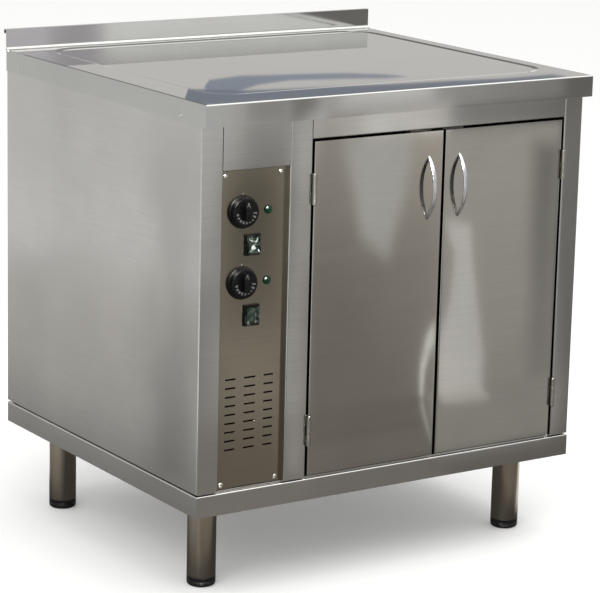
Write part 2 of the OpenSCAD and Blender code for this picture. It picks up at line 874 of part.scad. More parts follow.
module magnet_catches() {
    front = door_back_y + strike_t + body_gap;
    color("white") for (x = catch_xs)
        block(around(x, catch_w / 2), [front, front + catch_d], [rail_z - catch_h, rail_z]);
}

module strike(x) {
    color("silver") block(around(x, catch_w / 2), [door_back_y, door_back_y + strike_t],
        [rail_z - catch_h, door_z1 - sheet_t]);
}

module strike_left() {
    strike(catch_xs[0]);
}

module strike_right() {
    strike(catch_xs[1]);
}

// A knob: a tapered dial with a raised grip that points up
module knob(z) {
    gap = body_gap;
    wall = 2;
    foot_t = 2.5;
    socket_d = 14;
    grip_w = 13;
    grip_len = dial_d * 0.78;
    tip = grip_w / 2;
    color([0.08, 0.08, 0.08]) translate([panel_x0 + knob_x, panel_y - gap, z]) rotate([90, 0, 0]) {
        difference() {
            union() {
                rotate_extrude() polygon([
                    [0, 0], [knob_d / 2, 0], [knob_d / 2, foot_t],
                    [dial_d / 2 + 0.8, dial_h - gap - 0.8], [dial_d / 2, dial_h - gap], [0, dial_h - gap]
                ]);
                translate([0, 0, dial_h - gap - 1]) linear_extrude(grip_h - dial_h + 1) polygon([
                    [-grip_w / 2, -grip_len / 2], [grip_w / 2, -grip_len / 2],
                    [grip_w / 2, grip_len / 2 - tip], [0, grip_len / 2], [-grip_w / 2, grip_len / 2 - tip]
                ]);
            }
            translate([0, 0, -1]) difference() {
                cylinder(d = dial_d - 2 * wall, h = dial_h - 3);
                cylinder(d = socket_d, h = dial_h);
            }
            translate([0, 0, -1]) cylinder(d = spindle_d, h = spindle_len() + 1 - gap);
            translate([0, 0, -1]) cylinder(d = bush_d + 2, h = bush_reach() + 1 + gap);
        }
    }
}

// How far the thermostat's spindle and its bush stand out of the panel
function spindle_len() = grip_h - 5;
function bush_reach() = 3;

module knob_upper() {
    knob(rows_z[0]);
}

module knob_lower() {
    knob(rows_z[1]);
}

module spindle(z) {
    color("silver") rod_y(panel_x0 + knob_x, z, panel_y - spindle_len(), spindle_end_y, spindle_d);
}

module spindle_upper() {
    spindle(rows_z[0]);
}

module spindle_lower() {
    spindle(rows_z[1]);
}

// Where the temperature bulbs lie
function bulb_y() = return_y + 60;
function upper_bulb_x() = tray_x0 + 14;

// A capillary thermostat behind the panel, with its sensing bulb
module thermostat(z, capillary, bulb) {
    size = thermostat_size;
    x = panel_x0 + knob_x;
    front = panel_back_y + 2;
    bush_end = panel_y - bush_reach();
    difference() {
        union() {
            block(around(x, size[0] / 2), [front, front + size[1]], around(z, size[2] / 2));
            block(around(x, size[0] / 2 - 6), [panel_back_y, front], around(z, size[2] / 2));
            rod_y(x, z, bush_end, front, bush_d);
            for (tab = [-14, 0, 14])
                block(around(x + tab, 3.2), [front + size[1], front + size[1] + 10], around(z + 8, 0.4));
        }
        rod_y(x, z, bush_end - 1, spindle_end_y + body_gap, spindle_d + 2 * running);
    }
    route(capillary, capillary_d);
    route(bulb, bulb_d);
}

module thermostat_upper() {
    z = rows_z[0];
    x = upper_bulb_x();
    start_y = panel_back_y + 2 + thermostat_size[1] / 2;
    color("gainsboro") thermostat(z,
        [[x, start_y, z + thermostat_size[2] / 2 - 1], [x, start_y, z + 50], [x, bulb_y(), z + 50],
            [x, bulb_y(), tray_z - 20]],
        [[x, bulb_y(), tray_z - 20], [x, bulb_y(), field_under_z]]);
}

module thermostat_lower() {
    z = rows_z[1];
    x = panel_x0 + knob_x;
    bulb_x = opening_x0 + bulb_d / 2;
    start_y = panel_back_y + thermostat_size[1];
    color("gainsboro") thermostat(z,
        [[x, start_y, z], [x, bulb_y(), z], [bulb_x, bulb_y(), z], [bulb_x, bulb_y(), z + 30]],
        [[bulb_x, bulb_y(), z + 30], [bulb_x, bulb_y(), z + 110]]);
}

// Pilot lamps: a threaded holder with its nut behind the panel, and a domed lens
lens_flange_t = 1.4;
lamp_reach = 6;

module lamp_holders() {
    nut_d = 18;
    nut_h = 4;
    color("black") for (z = rows_z) {
        x = panel_x0 + lamp_x;
        rod_y(x, z, panel_y, panel_back_y + 18, lamp_barrel_d);
        translate([x, panel_back_y, z]) rotate([-90, 0, 0]) cylinder(d = nut_d, h = nut_h, $fn = 6);
        for (side = [-1, 1])
            block(around(x + side * 3, 0.4), [panel_back_y + 18, panel_back_y + 26], around(z, 2.4));
    }
}

module lamp_lenses() {
    dome_h = lamp_reach - lens_flange_t;
    dome_r = (pow(lamp_d / 2 - 0.8, 2) + pow(dome_h, 2)) / (2 * dome_h);
    color("green") for (z = rows_z) translate([panel_x0 + lamp_x, panel_y, z]) rotate([90, 0, 0]) {
        cylinder(d = lamp_d, h = lens_flange_t);
        intersection() {
            translate([0, 0, lamp_reach - dome_r]) sphere(r = dome_r);
            translate([0, 0, lens_flange_t - 0.1]) cylinder(d = lamp_d - 1, h = lamp_reach);
        }
    }
}

// Rocker switches: x, y and z are measured from the middle of the frame at the panel
opening_w = rocker_w + 2 * 0.5;
opening_h = 2 * rocker_r + 1.4;

module at_switch(z) {
    translate([panel_x0 + switch_x, panel_y, z - switch_drop]) children();
}

module switch_body(z) {
    cavity_d = 9;
    color("black") at_switch(z) difference() {
        union() {
            translate([-switch_w / 2, -frame_t, -switch_h / 2]) cube([switch_w, frame_t, switch_h]);
            translate([-housing_size[0] / 2, 0, -housing_size[2] / 2])
                cube(housing_size);
            for (tab = [-8, 0, 8]) translate([-2.4, housing_size[1], tab - 0.4]) cube([4.8, 8, 0.8]);
        }
        translate([-opening_w / 2, -frame_t - 1, -opening_h / 2])
            cube([opening_w, frame_t + 1 + cavity_d, opening_h]);
        translate([0, rocker_pivot, 0]) rotate([0, 90, 0])
            cylinder(d = trunnion_d + 2 * running, h = rocker_w + 2 * trunnion_l + 1, center = true);
    }
}

module switch_body_upper() {
    switch_body(rows_z[0]);
}

module switch_body_lower() {
    switch_body(rows_z[1]);
}

// The rocker lies with its lower half pressed in
module rocker(z) {
    face = 4;
    slope = tan(rocker_tilt);
    color("green") at_switch(z) translate([0, rocker_pivot, 0]) rotate([rocker_tilt, 0, 0]) {
        intersection() {
            rotate([0, 90, 0]) cylinder(r = rocker_r, h = rocker_w, center = true);
            along_x(-rocker_w / 2, rocker_w / 2) polygon([
                [3, -rocker_r], [3, rocker_r], [-face - rocker_r * slope, rocker_r],
                [-face, 0], [-face - rocker_r * slope, -rocker_r]
            ]);
        }
        rotate([0, 90, 0]) cylinder(d = trunnion_d, h = rocker_w + 2 * trunnion_l, center = true);
    }
}

module rocker_upper() {
    rocker(rows_z[0]);
}

module rocker_lower() {
    rocker(rows_z[1]);
}

// The clear splash covers over the rockers
module switch_covers() {
    w = opening_w + 4 * cover_t;
    h = opening_h + 4 * cover_t;
    r = 2.4;
    color("white", 0.4) for (z = rows_z) at_switch(z) difference() {
        along_y(-cover_reach, -frame_t) translate([-w / 2, -h / 2]) rounded(w, h, [r, r, r, r]);
        along_y(-cover_reach + cover_t, -frame_t + 1)
            translate([cover_t - w / 2, cover_t - h / 2])
                rounded(w - 2 * cover_t, h - 2 * cover_t, [1, 1, 1, 1] * (r - cover_t));
    }
}

// A tubular leg with the threaded plug that takes the foot's screw
module leg(x, y) {
    color("darkgray") translate([x, y, leg_z]) {
        difference() {
            cylinder(d = leg_d, h = plate_z - leg_z);
            translate([0, 0, -1]) cylinder(d = leg_d - 2 * leg_t, h = plate_z - leg_z + 2);
        }
        difference() {
            cylinder(d = leg_d - 2 * leg_t, h = nut_t);
            translate([0, 0, -1]) cylinder(d = foot_screw_d + 2 * running, h = nut_t + 2);
        }
    }
}

module leg_front_left() {
    leg(leg_xs[0], leg_ys[0]);
}

module leg_front_right() {
    leg(leg_xs[1], leg_ys[0]);
}

module leg_back_left() {
    leg(leg_xs[0], leg_ys[1]);
}

module leg_back_right() {
    leg(leg_xs[1], leg_ys[1]);
}

module foot(x, y) {
    screw_top = leg_z + nut_t + foot_travel;
    color([0.05, 0.05, 0.05]) translate([x, y, 0]) {
        rotate_extrude() rounded(leg_d / 2, foot_h, [0, foot_r, 0, 0]);
        cylinder(d = foot_screw_d, h = screw_top);
    }
}

module foot_front_left() {
    foot(leg_xs[0], leg_ys[0]);
}

module foot_front_right() {
    foot(leg_xs[1], leg_ys[0]);
}

module foot_back_left() {
    foot(leg_xs[0], leg_ys[1]);
}

module foot_back_right() {
    foot(leg_xs[1], leg_ys[1]);
}

module leg_plates() {
    color("gray") for (x = leg_xs, y = leg_ys)
        translate([x - plate_w / 2, y - plate_w / 2, plate_z]) cube([plate_w, plate_w, plate_t]);
}

// The gland for the mains lead, in the recess of the back panel
module cable_gland() {
    collar_t = 4;
    nut_h = 6;
    inner_t = 5;
    color([0.1, 0.1, 0.1]) translate([gland_x, back_y, gland_z]) rotate([-90, 0, 0]) difference() {
        union() {
            cylinder(d = gland_body_d, h = collar_t + nut_h);
            cylinder(d = gland_hex, h = collar_t, $fn = 6);
            translate([0, 0, -sheet_t - inner_t - 6]) cylinder(d = gland_body_d, h = sheet_t + inner_t + 7);
            translate([0, 0, -sheet_t - inner_t]) cylinder(d = gland_hex, h = inner_t, $fn = 6);
            translate([0, 0, collar_t]) cylinder(d1 = gland_body_d + 2, d2 = gland_body_d - 2, h = nut_h);
        }
        translate([0, 0, -30]) cylinder(d = gland_bore, h = 60);
    }
}

// The mains terminals, on the base inside the control bay
terminal_x = panel_x0 + 67;
terminal_y = liner_y1 - 69;
terminal_h = 21;

module terminal_block() {
    poles = 5;
    pole_w = 12;
    block_d = 22;
    color("whitesmoke") difference() {
        block(around(terminal_x + 20, poles * pole_w / 2), around(terminal_y, block_d / 2),
            [floor_z, floor_z + terminal_h]);
        for (i = [0 : poles - 1], side = [-1, 1])
            translate([terminal_x + 20 + (i - (poles - 1) / 2) * pole_w, terminal_y + side * 7,
                floor_z + terminal_h - 8]) cylinder(d = 5, h = 9);
    }
}

// The wires between the terminals, the controls and the heaters
module wiring_loom() {
    wire_d = 5;
    riser_in = 48;
    riser_depth = 54;
    riser_x = body_x0 + riser_in;
    riser_y = panel_back_y + riser_depth;
    low_z = floor_z + 49;
    high_z = tray_z - 43;
    tail_x = top_tail_x - tail_r;
    tabs_y = panel_back_y + 39;
    color("darkred") {
        route([[terminal_x, terminal_y, floor_z + terminal_h], [terminal_x, terminal_y, low_z],
            [riser_x, terminal_y, low_z], [riser_x, riser_y, low_z], [riser_x, riser_y, high_z],
            [riser_x, top_runs_y[0], high_z], [tail_x, top_runs_y[0], high_z],
            [tail_x, top_runs_y[0], tail_z]], wire_d);
        route([[riser_x, terminal_y, low_z], [riser_x, terminal_y, high_z], [riser_x, top_runs_y[1], high_z],
            [tail_x, top_runs_y[1], high_z], [tail_x, top_runs_y[1], tail_z]], wire_d);
        for (y = chamber_runs_y)
            route([[riser_x, y, low_z], [chamber_tail_x - 40, y, low_z],
                [chamber_tail_x - 40, y, chamber_element_z], [chamber_tail_x, y, chamber_element_z]], wire_d);
        for (z = rows_z) {
            thermostat_x = panel_x0 + knob_x - 14;
            lamp_tab_x = panel_x0 + lamp_x - 3;
            route([[riser_x, riser_y, z + 8], [thermostat_x, riser_y, z + 8],
                [thermostat_x, tabs_y, z + 8]], wire_d);
            route([[riser_x, riser_y, z - 24], [lamp_tab_x, riser_y, z - 24], [lamp_tab_x, riser_y, z],
                [lamp_tab_x, panel_back_y + 26, z]], wire_d);
            switch_tab_z = z - switch_drop + 8;
            route([[riser_x, riser_y, switch_tab_z], [panel_x0 + switch_x, riser_y, switch_tab_z],
                [panel_x0 + switch_x, panel_y + housing_size[1] + 8, switch_tab_z]], wire_d);
        }
    }
}

worktop();
base_tray();
side_panel_left();
side_panel_right();
back_panel();
middle_post();
top_rail();
panel_fascia();
control_panel();
control_panel_screws();
apron_rivets();
chamber_liner();
chamber_ceiling();
chamber_insulation();
heater_tray();
top_insulation();
top_element();
chamber_element();
lower_shelf();
upper_shelf();
shelf_rails();
door_left_skin();
door_left_liner();
door_right_skin();
door_right_liner();
handle_left();
handle_right();
hinge_post_leaves_left();
hinge_post_leaves_right();
hinge_door_leaves_left();
hinge_door_leaves_right();
hinge_pins();
magnet_catches();
strike_left();
strike_right();
knob_upper();
knob_lower();
spindle_upper();
spindle_lower();
thermostat_upper();
thermostat_lower();
lamp_holders();
lamp_lenses();
switch_body_upper();
switch_body_lower();
rocker_upper();
rocker_lower();
switch_covers();
leg_front_left();
leg_front_right();
leg_back_left();
leg_back_right();
foot_front_left();
foot_front_right();
foot_back_left();
foot_back_right();
leg_plates();
cable_gland();
terminal_block();
wiring_loom();
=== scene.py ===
import json
from math import atan2, cos, pi, radians, sin

import bmesh
import bpy
from mathutils import Matrix, Vector


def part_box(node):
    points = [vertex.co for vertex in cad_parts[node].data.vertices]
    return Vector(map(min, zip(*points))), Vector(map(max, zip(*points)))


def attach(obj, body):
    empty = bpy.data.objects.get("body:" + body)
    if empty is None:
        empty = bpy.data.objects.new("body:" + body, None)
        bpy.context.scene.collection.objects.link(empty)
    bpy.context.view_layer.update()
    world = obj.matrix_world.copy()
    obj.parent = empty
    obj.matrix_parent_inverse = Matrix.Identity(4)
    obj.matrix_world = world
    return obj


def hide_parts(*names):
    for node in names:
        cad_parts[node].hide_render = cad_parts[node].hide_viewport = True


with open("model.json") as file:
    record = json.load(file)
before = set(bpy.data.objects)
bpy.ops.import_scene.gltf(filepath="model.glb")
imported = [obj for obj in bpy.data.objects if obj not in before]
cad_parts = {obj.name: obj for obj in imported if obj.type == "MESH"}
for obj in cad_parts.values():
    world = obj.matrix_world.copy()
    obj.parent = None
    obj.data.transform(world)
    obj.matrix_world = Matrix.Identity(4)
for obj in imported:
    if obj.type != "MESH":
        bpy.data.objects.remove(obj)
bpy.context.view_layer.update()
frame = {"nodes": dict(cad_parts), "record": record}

bl_info = {
    "name": "Plate Warmer Cabinet",
    "version": (1, 0, 0),
    "blender": (4, 5, 0),
    "location": "View3D > Sidebar > Warmer",
    "description": "Dresses the plate warmer's packed model with its finishes and fine detail",
    "category": "Object",
}

MM = 0.001
# How near two points are that touch, and two that are one
TOUCH, SAME = 0.01 * MM, 0.001 * MM
BODY_OF = {
    node: body
    for body, nodes in frame["record"]["behaviour"]["bodies"].items()
    for node in nodes
}
# The heated field: the height of the sheet round it, and its two corners
FIELD = {"surface": 850 * MM, "low": (-332 * MM, -265 * MM), "high": (365 * MM, 320 * MM)}
SLOT_OF = {entry["node"]: entry["material_slot"] for entry in frame["record"]["subparts"]}


def linear(code):
    """An sRGB hex colour as linear red, green and blue."""
    parts = [int(code[i:i + 2], 16) / 255 for i in (1, 3, 5)]
    return [c / 12.92 if c <= 0.04045 else ((c + 0.055) / 1.055) ** 2.4 for c in parts]


# settings


class WarmerFinishes(bpy.types.PropertyGroup):
    """Colours of the cabinet's finishes"""

    # The steel tones below are one metal, each set to how light or dark that part looks; where they
    # differ, the difference is painted light and shade.
    worktop: bpy.props.FloatVectorProperty(
        name="Worktop", description="Satin stainless steel of the worktop",
        subtype="COLOR", default=linear("#A3A3A1"))
    body: bpy.props.FloatVectorProperty(
        name="Body", description="Satin stainless steel of the body and base",
        subtype="COLOR", default=linear("#A9A8A5"))
    # The panel's darker, browner tone is painted shade: the shade of its recess and the dark
    # surroundings it mirrors.
    panel: bpy.props.FloatVectorProperty(
        name="Control panel", description="Dark polished stainless steel of the control panel",
        subtype="COLOR", default=linear("#8A8376"))
    doors: bpy.props.FloatVectorProperty(
        name="Doors", description="Satin stainless steel of the doors",
        subtype="COLOR", default=linear("#9D9B96"))
    # The legs' darker, browner tone is painted shade: the shaded floor under the cabinet that the
    # tube mirrors.
    legs: bpy.props.FloatVectorProperty(
        name="Legs", description="Stainless tube of the legs",
        subtype="COLOR", default=linear("#A0978A"))
    handles: bpy.props.FloatVectorProperty(
        name="Handles", description="Satin chrome of the handles",
        subtype="COLOR", default=linear("#BBBBBF"))
    plastic: bpy.props.FloatVectorProperty(
        name="Black plastic", description="Moulded black plastic of the knobs and switches",
        subtype="COLOR", default=linear("#08090B"))
    green: bpy.props.FloatVectorProperty(
        name="Green plastic", description="Translucent green of the lamps and rockers",
        subtype="COLOR", default=linear("#062E18"))


class WarmerControls(bpy.types.PropertyGroup):
    """Sizes of the printed and moulded detail on the controls"""

    numeral_height: bpy.props.FloatProperty(
        name="Numeral height", description="Height of the numerals on the knobs",
        default=4.6 * MM, unit="LENGTH")
    lamp_facets: bpy.props.IntProperty(
        name="Lamp facets", description="Number of facets round a lamp lens", default=8)
    edge: bpy.props.FloatProperty(
        name="Moulded edge", description="Radius on the edges of moulded parts",
        default=0.5 * MM, unit="LENGTH")


class WarmerSheet(bpy.types.PropertyGroup):
    """Sizes of the sheet metal's finish"""

    burr: bpy.props.FloatProperty(
        name="Eased edge", description="Radius on the cut edges of the sheet",
        default=0.4 * MM, unit="LENGTH")
    fold: bpy.props.FloatProperty(
        name="Fold", description="Radius of the bends round a door's front",
        default=1.2 * MM, unit="LENGTH")
    press_run: bpy.props.FloatVectorProperty(
        name="Press line", description="Width of the soft step at the heated field's sides and ends",
        size=2, default=(3.5 * MM, 9 * MM), unit="LENGTH")
    handle_taper: bpy.props.FloatProperty(
        name="Handle taper", description="Width of a handle's ends against its middle",
        default=0.5, subtype="FACTOR")


class WarmerStudio(bpy.types.PropertyGroup):
    """The studio that the cabinet is shown in"""

    floor: bpy.props.FloatVectorProperty(
        name="Floor", description="Colour of the studio floor",
        subtype="COLOR", default=linear("#F4F4F2"))
    level: bpy.props.FloatProperty(
        name="Light level", description="Brightness of the soft light from all round", default=0.85)


def settings(name):
    return getattr(bpy.context.scene, name)


# materials


def add(tree, kind, values=None, **options):
    """Adds a node. values maps its sockets to numbers, colours or other sockets."""
    new = tree.nodes.new(kind)
    for key, value in options.items():
        setattr(new, key, value)
    for key, value in (values or {}).items():
        if isinstance(value, bpy.types.NodeSocket):
            tree.links.new(value, new.inputs[key])
        else:
            new.inputs[key].default_value = value
    return new


def new_material(name, colour, metallic, roughness, **sockets):
    """A material on the Principled shader; returns it with its tree and shader."""
    material = bpy.data.materials.new(name)
    material.use_nodes = True
    tree = material.node_tree
    shader = tree.nodes["Principled BSDF"]
    shader.inputs["Base Color"].default_value = (*colour, 1)
    shader.inputs["Metallic"].default_value = metallic
    shader.inputs["Roughness"].default_value = roughness
    for socket, value in sockets.items():
        shader.inputs[socket.replace("_", " ")].default_value = value
    material.diffuse_color = (*colour, 1)
    return material, tree, shader


def scaled(colour, factor):
    return (*[min(1.0, c * factor) for c in colour], 1)


def satin_steel(name, colour, roughness, grain, wave_mm=150, wave_depth=0.25, haze_and_reflection=0.10,
                lean=0.6, scratch=0.015, level_polish=1):
    """Cold-rolled stainless steel with a satin belt finish.

    The belt leaves long fine scratches, so reflections smear across them and the
    sheet looks softly streaked. grain is the scratches' length along X, Y and Z in
    millimetres; real ones are about 0.1 wide, too fine to show, and are drawn coarser.
    Thin sheet is never quite flat, so reflections bend over wave_mm.
    level_polish below 1 makes faces that look up smoother than the folded ones.
    """
    material, tree, shader = new_material(
        name, colour, 1, roughness, Anisotropic=lean, Anisotropic_Rotation=0.25)
    place = add(tree, "ShaderNodeTexCoord").outputs["Object"]
    scratches = add(tree, "ShaderNodeTexNoise", {
        "Vector": add(tree, "ShaderNodeMapping", {
            "Vector": place, "Scale": [1000 / length for length in grain]}).outputs[0],
        "Scale": 1, "Detail": 3, "Roughness": 0.6}).outputs[0]
    # The clouds lighten and darken the steel in soft blots: partly handling haze, partly a painted
    # reflection that stands in for the bright and dark surroundings the sheet mirrors.
    haze_and_reflection_mm, clouds_share = 210, 0.62
    clouds = add(tree, "ShaderNodeTexNoise", {
        "Vector": place, "Scale": 1000 / haze_and_reflection_mm, "Detail": 4, "Roughness": 0.55}).outputs[0]
    tone = add(tree, "ShaderNodeMath", {
        0: add(tree, "ShaderNodeMath", {0: clouds, 1: clouds_share}, operation="MULTIPLY").outputs[0],
        1: add(tree, "ShaderNodeMath", {0: scratches, 1: 1 - clouds_share},
               operation="MULTIPLY").outputs[0],
    }, operation="ADD").outputs[0]
    tree.links.new(add(tree, "ShaderNodeMix", {
        "Factor": add(tree, "ShaderNodeMapRange", {
            "Value": tone, "From Min": 0.36, "From Max": 0.64}).outputs[0],
        "A": scaled(colour, 1 - haze_and_reflection), "B": scaled(colour, 1 + haze_and_reflection)},
        data_type="RGBA").outputs["Result"], shader.inputs["Base Color"])
    normal = add(tree, "ShaderNodeVectorTransform", {
        0: add(tree, "ShaderNodeNewGeometry").outputs["Normal"]},
        vector_type="NORMAL", convert_from="WORLD", convert_to="OBJECT").outputs[0]
    level = add(tree, "ShaderNodeMapRange", {
        "Value": add(tree, "ShaderNodeSeparateXYZ", {0: normal}).outputs["Z"],
        "From Min": 0.8, "From Max": 1, "To Min": 1, "To Max": level_polish}).outputs[0]
    worn = add(tree, "ShaderNodeMapRange", {
        "Value": tone, "From Min": 0.3, "From Max": 0.7,
        "To Min": roughness * 1.2, "To Max": roughness * 0.82}).outputs[0]
    tree.links.new(add(tree, "ShaderNodeMath", {0: worn, 1: level}, operation="MULTIPLY").outputs[0],
                   shader.inputs["Roughness"])
    waves = add(tree, "ShaderNodeTexNoise", {
        "Vector": place, "Scale": 1000 / wave_mm, "Detail": 0.5}).outputs[0]
    fine = add(tree, "ShaderNodeBump", {
        "Height": scratches, "Strength": 0.4, "Distance": scratch * MM}).outputs[0]
    tree.links.new(add(tree, "ShaderNodeBump", {
        "Height": waves, "Strength": 1, "Distance": wave_depth * MM, "Normal": fine}).outputs[0],
        shader.inputs["Normal"])
    belt = (0, 0.02, 1)
    along = add(tree, "ShaderNodeVectorMath", {0: normal, 1: belt},
                operation="CROSS_PRODUCT").outputs[0]
    tree.links.new(add(tree, "ShaderNodeVectorTransform", {0: along},
        vector_type="VECTOR", convert_from="OBJECT", convert_to="WORLD").outputs[0],
        shader.inputs["Tangent"])
    return material


def moulded_plastic(name, colour, roughness, grain_mm=0.8, depth=0.05, **sockets):
    """Injection-moulded plastic with a fine spark-eroded texture, which dulls the gloss.

    The real texture is about 0.05 mm, too fine to show, so grain_mm is coarser.
    """
    material, tree, shader = new_material(name, colour, 0, roughness, **sockets)
    place = add(tree, "ShaderNodeTexCoord").outputs["Object"]
    texture = add(tree, "ShaderNodeTexNoise", {
        "Vector": place, "Scale": 1000 / grain_mm, "Detail": 2}).outputs[0]
    touched_mm = 12
    wear = add(tree, "ShaderNodeTexNoise", {
        "Vector": place, "Scale": 1000 / touched_mm, "Detail": 3}).outputs[0]
    tree.links.new(add(tree, "ShaderNodeMapRange", {
        "Value": wear, "From Min": 0.3, "From Max": 0.7,
        "To Min": roughness * 0.8, "To Max": roughness * 1.25}).outputs[0],
        shader.inputs["Roughness"])
    tree.links.new(add(tree, "ShaderNodeMix", {
        "Factor": wear, "A": scaled(colour, 0.85), "B": scaled(colour, 1.2)},
        data_type="RGBA").outputs["Result"], shader.inputs["Base Color"])
    tree.links.new(add(tree, "ShaderNodeBump", {
        "Height": texture, "Strength": 0.4, "Distance": depth * MM}).outputs[0],
        shader.inputs["Normal"])
    return material


def satin_chrome(name, colour):
    """Zinc casting with satin chrome plate: bright, with a soft blurred reflection.

    The brushing is about 0.1 mm wide on the real handle and is drawn coarser here.
    """
    material, tree, shader = new_material(name, colour, 1, 0.2)
    place = add(tree, "ShaderNodeTexCoord").outputs["Object"]
    brush_mm = 1.2
    brushing = add(tree, "ShaderNodeTexNoise", {
        "Vector": place, "Scale": 1000 / brush_mm, "Detail": 3}).outputs[0]
    tree.links.new(add(tree, "ShaderNodeMapRange", {
        "Value": brushing, "From Min": 0.3, "From Max": 0.7,
        "To Min": 0.16, "To Max": 0.26}).outputs[0], shader.inputs["Roughness"])
    return material


def mineral_wool(name, colour):
    """Pressed glass-wool slab: yellow, matte and fibrous, in tufts of some millimetres."""
    material, tree, shader = new_material(name, colour, 0, 0.95)
    place = add(tree, "ShaderNodeTexCoord").outputs["Object"]
    tuft_mm = 6
    fibres = add(tree, "ShaderNodeTexNoise", {
        "Vector": place, "Scale": 1000 / tuft_mm, "Detail": 8, "Distortion": 1.5}).outputs[0]
    tree.links.new(add(tree, "ShaderNodeMix", {
        "Factor": fibres, "A": scaled(colour, 0.6), "B": scaled(colour, 1.3)},
        data_type="RGBA").outputs["Result"], shader.inputs["Base Color"])
    tree.links.new(add(tree, "ShaderNodeBump", {
        "Height": fibres, "Strength": 1, "Distance": 1.5 * MM}).outputs[0],
        shader.inputs["Normal"])
    return material


def heated_sheath(name, colour):
    """Nickel-steel tube of a heating element, browned and blotched by its heat."""
    material, tree, shader = new_material(name, colour, 0.8, 0.5)
    place = add(tree, "ShaderNodeTexCoord").outputs["Object"]
    blotch_mm = 25
    blotches = add(tree, "ShaderNodeTexNoise", {
        "Vector": place, "Scale": 1000 / blotch_mm, "Detail": 5}).outputs[0]
    tree.links.new(add(tree, "ShaderNodeMix", {
        "Factor": blotches, "A": (*linear("#2B2724"), 1), "B": (*linear("#6B5A4B"), 1)},
        data_type="RGBA").outputs["Result"], shader.inputs["Base Color"])
    return material


def clear_plastic(name):
    """Soft clear PVC of the splash covers: glossy, with sharp white glints on its creases."""
    material, tree, shader = new_material(
        name, linear("#DCE8E0"), 0, 0.04, IOR=1.25, Transmission_Weight=1)
    place = add(tree, "ShaderNodeTexCoord").outputs["Object"]
    crease_mm = 13
    depth_mm = 11
    creases = add(tree, "ShaderNodeTexVoronoi", {
        "Vector": place, "Scale": 1000 / crease_mm}, feature="F1").outputs[0]
    tree.links.new(add(tree, "ShaderNodeBump", {
        "Height": creases, "Strength": 1, "Distance": depth_mm * MM}).outputs[0],
        shader.inputs["Normal"])
    return material


MATERIALS = {}


def make_materials():
    """Fills MATERIALS, one for each of the record's material slots."""
    tones = settings("warmer_finishes")
    across = (90, 90, 1.6)
    black = scaled(tones.plastic, 0.8)[:3]
    MATERIALS.update({
        "worktop_steel": satin_steel(
            "satin stainless, worktop", tones.worktop, 0.08, (90, 1.6, 1.6), wave_mm=170,
            wave_depth=0.03, haze_and_reflection=0.05, lean=0.2, scratch=0.0003, level_polish=0.3),
        "body_steel": satin_steel(
            "satin stainless, body", tones.body, 0.14, across,
            wave_depth=1.2, scratch=0.01, haze_and_reflection=0.07),
        "panel_steel": satin_steel(
            "polished stainless, control panel", tones.panel, 0.16, across,
            wave_mm=120, haze_and_reflection=0.08),
        "door_steel": satin_steel(
            "satin stainless, doors", tones.doors, 0.07, across,
            wave_mm=210, wave_depth=0.6, haze_and_reflection=0.06, lean=0.5, scratch=0.005),
        "inner_steel": satin_steel(
            "mill-finish stainless, inside", linear("#B4B3AF"), 0.34, (40, 40, 3), haze_and_reflection=0.08),
        "fastener_steel": satin_steel(
            "turned stainless, fasteners", linear("#BDBBB6"), 0.25, (3, 3, 3), wave_depth=0.02),
        "hinge_steel": satin_steel(
            "satin stainless, hinges", linear("#8B8982"), 0.3, (3, 3, 1), wave_depth=0.02),
        "leg_steel": satin_steel(
            "satin stainless tube, legs", tones.legs, 0.22, (2, 2, 40),
            wave_depth=0.05, haze_and_reflection=0.12),
        "handle_chrome": satin_chrome("satin chrome plate", tones.handles),
        "element_sheath": heated_sheath("heat-browned nickel steel", linear("#4A413A")),
        "insulation": mineral_wool("pressed glass wool", linear("#C9B56A")),
        "knob_plastic": moulded_plastic("moulded phenolic, knobs", tones.plastic, 0.3, IOR=1.25),
        "switch_plastic": moulded_plastic("moulded nylon, black", black, 0.3, IOR=1.25),
        "foot_plastic": moulded_plastic(
            "moulded polyamide, feet", linear("#0B0B0B"), 0.42, IOR=1.4),
        "green_plastic": moulded_plastic(
            "green polycarbonate", tones.green, 0.06, depth=0.01, IOR=1.3),
        "clear_cover": clear_plastic("clear soft PVC"),
        "device_plastic": moulded_plastic(
            "moulded ceramic-white plastic", linear("#D9D6CC"), 0.5),
        "catch_plastic": moulded_plastic("moulded white plastic", linear("#E2E1DC"), 0.45),
        "wire": moulded_plastic("silicone wire sleeve", linear("#7A1E18"), 0.55),
        "print": new_material("screen-printed white ink", linear("#9C9C99"), 0, 0.6)[0],
    })


# meshes


def placed(name, data):
    """An object for a mesh, lamp or camera, in the scene."""
    thing = bpy.data.objects.new(name, data)
    bpy.context.scene.collection.objects.link(thing)
    return thing


def mesh_of(bm, name):
    mesh = bpy.data.meshes.new(name)
    bm.to_mesh(mesh)
    bm.free()
    return mesh


def finish(bm, name, slot, body, replaced=(), smooth=35, paint=None):
    """Turns a bmesh in metres into a piece that rides on a body."""
    mesh = mesh_of(bm, name)
    if smooth:
        mesh.shade_smooth()
        mesh.set_sharp_from_angle(angle=radians(smooth))
    piece = placed(name, mesh)
    mesh.materials.append(MATERIALS[paint or slot])
    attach(piece, body)
    if replaced:
        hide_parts(*replaced)
    return piece


def rounded(bm, geom, radius, segments, affect="EDGES"):
    bmesh.ops.bevel(bm, geom=list(geom), offset=radius, offset_type="OFFSET", segments=segments,
                    profile=0.5, affect=affect, clamp_overlap=True, material=-1)


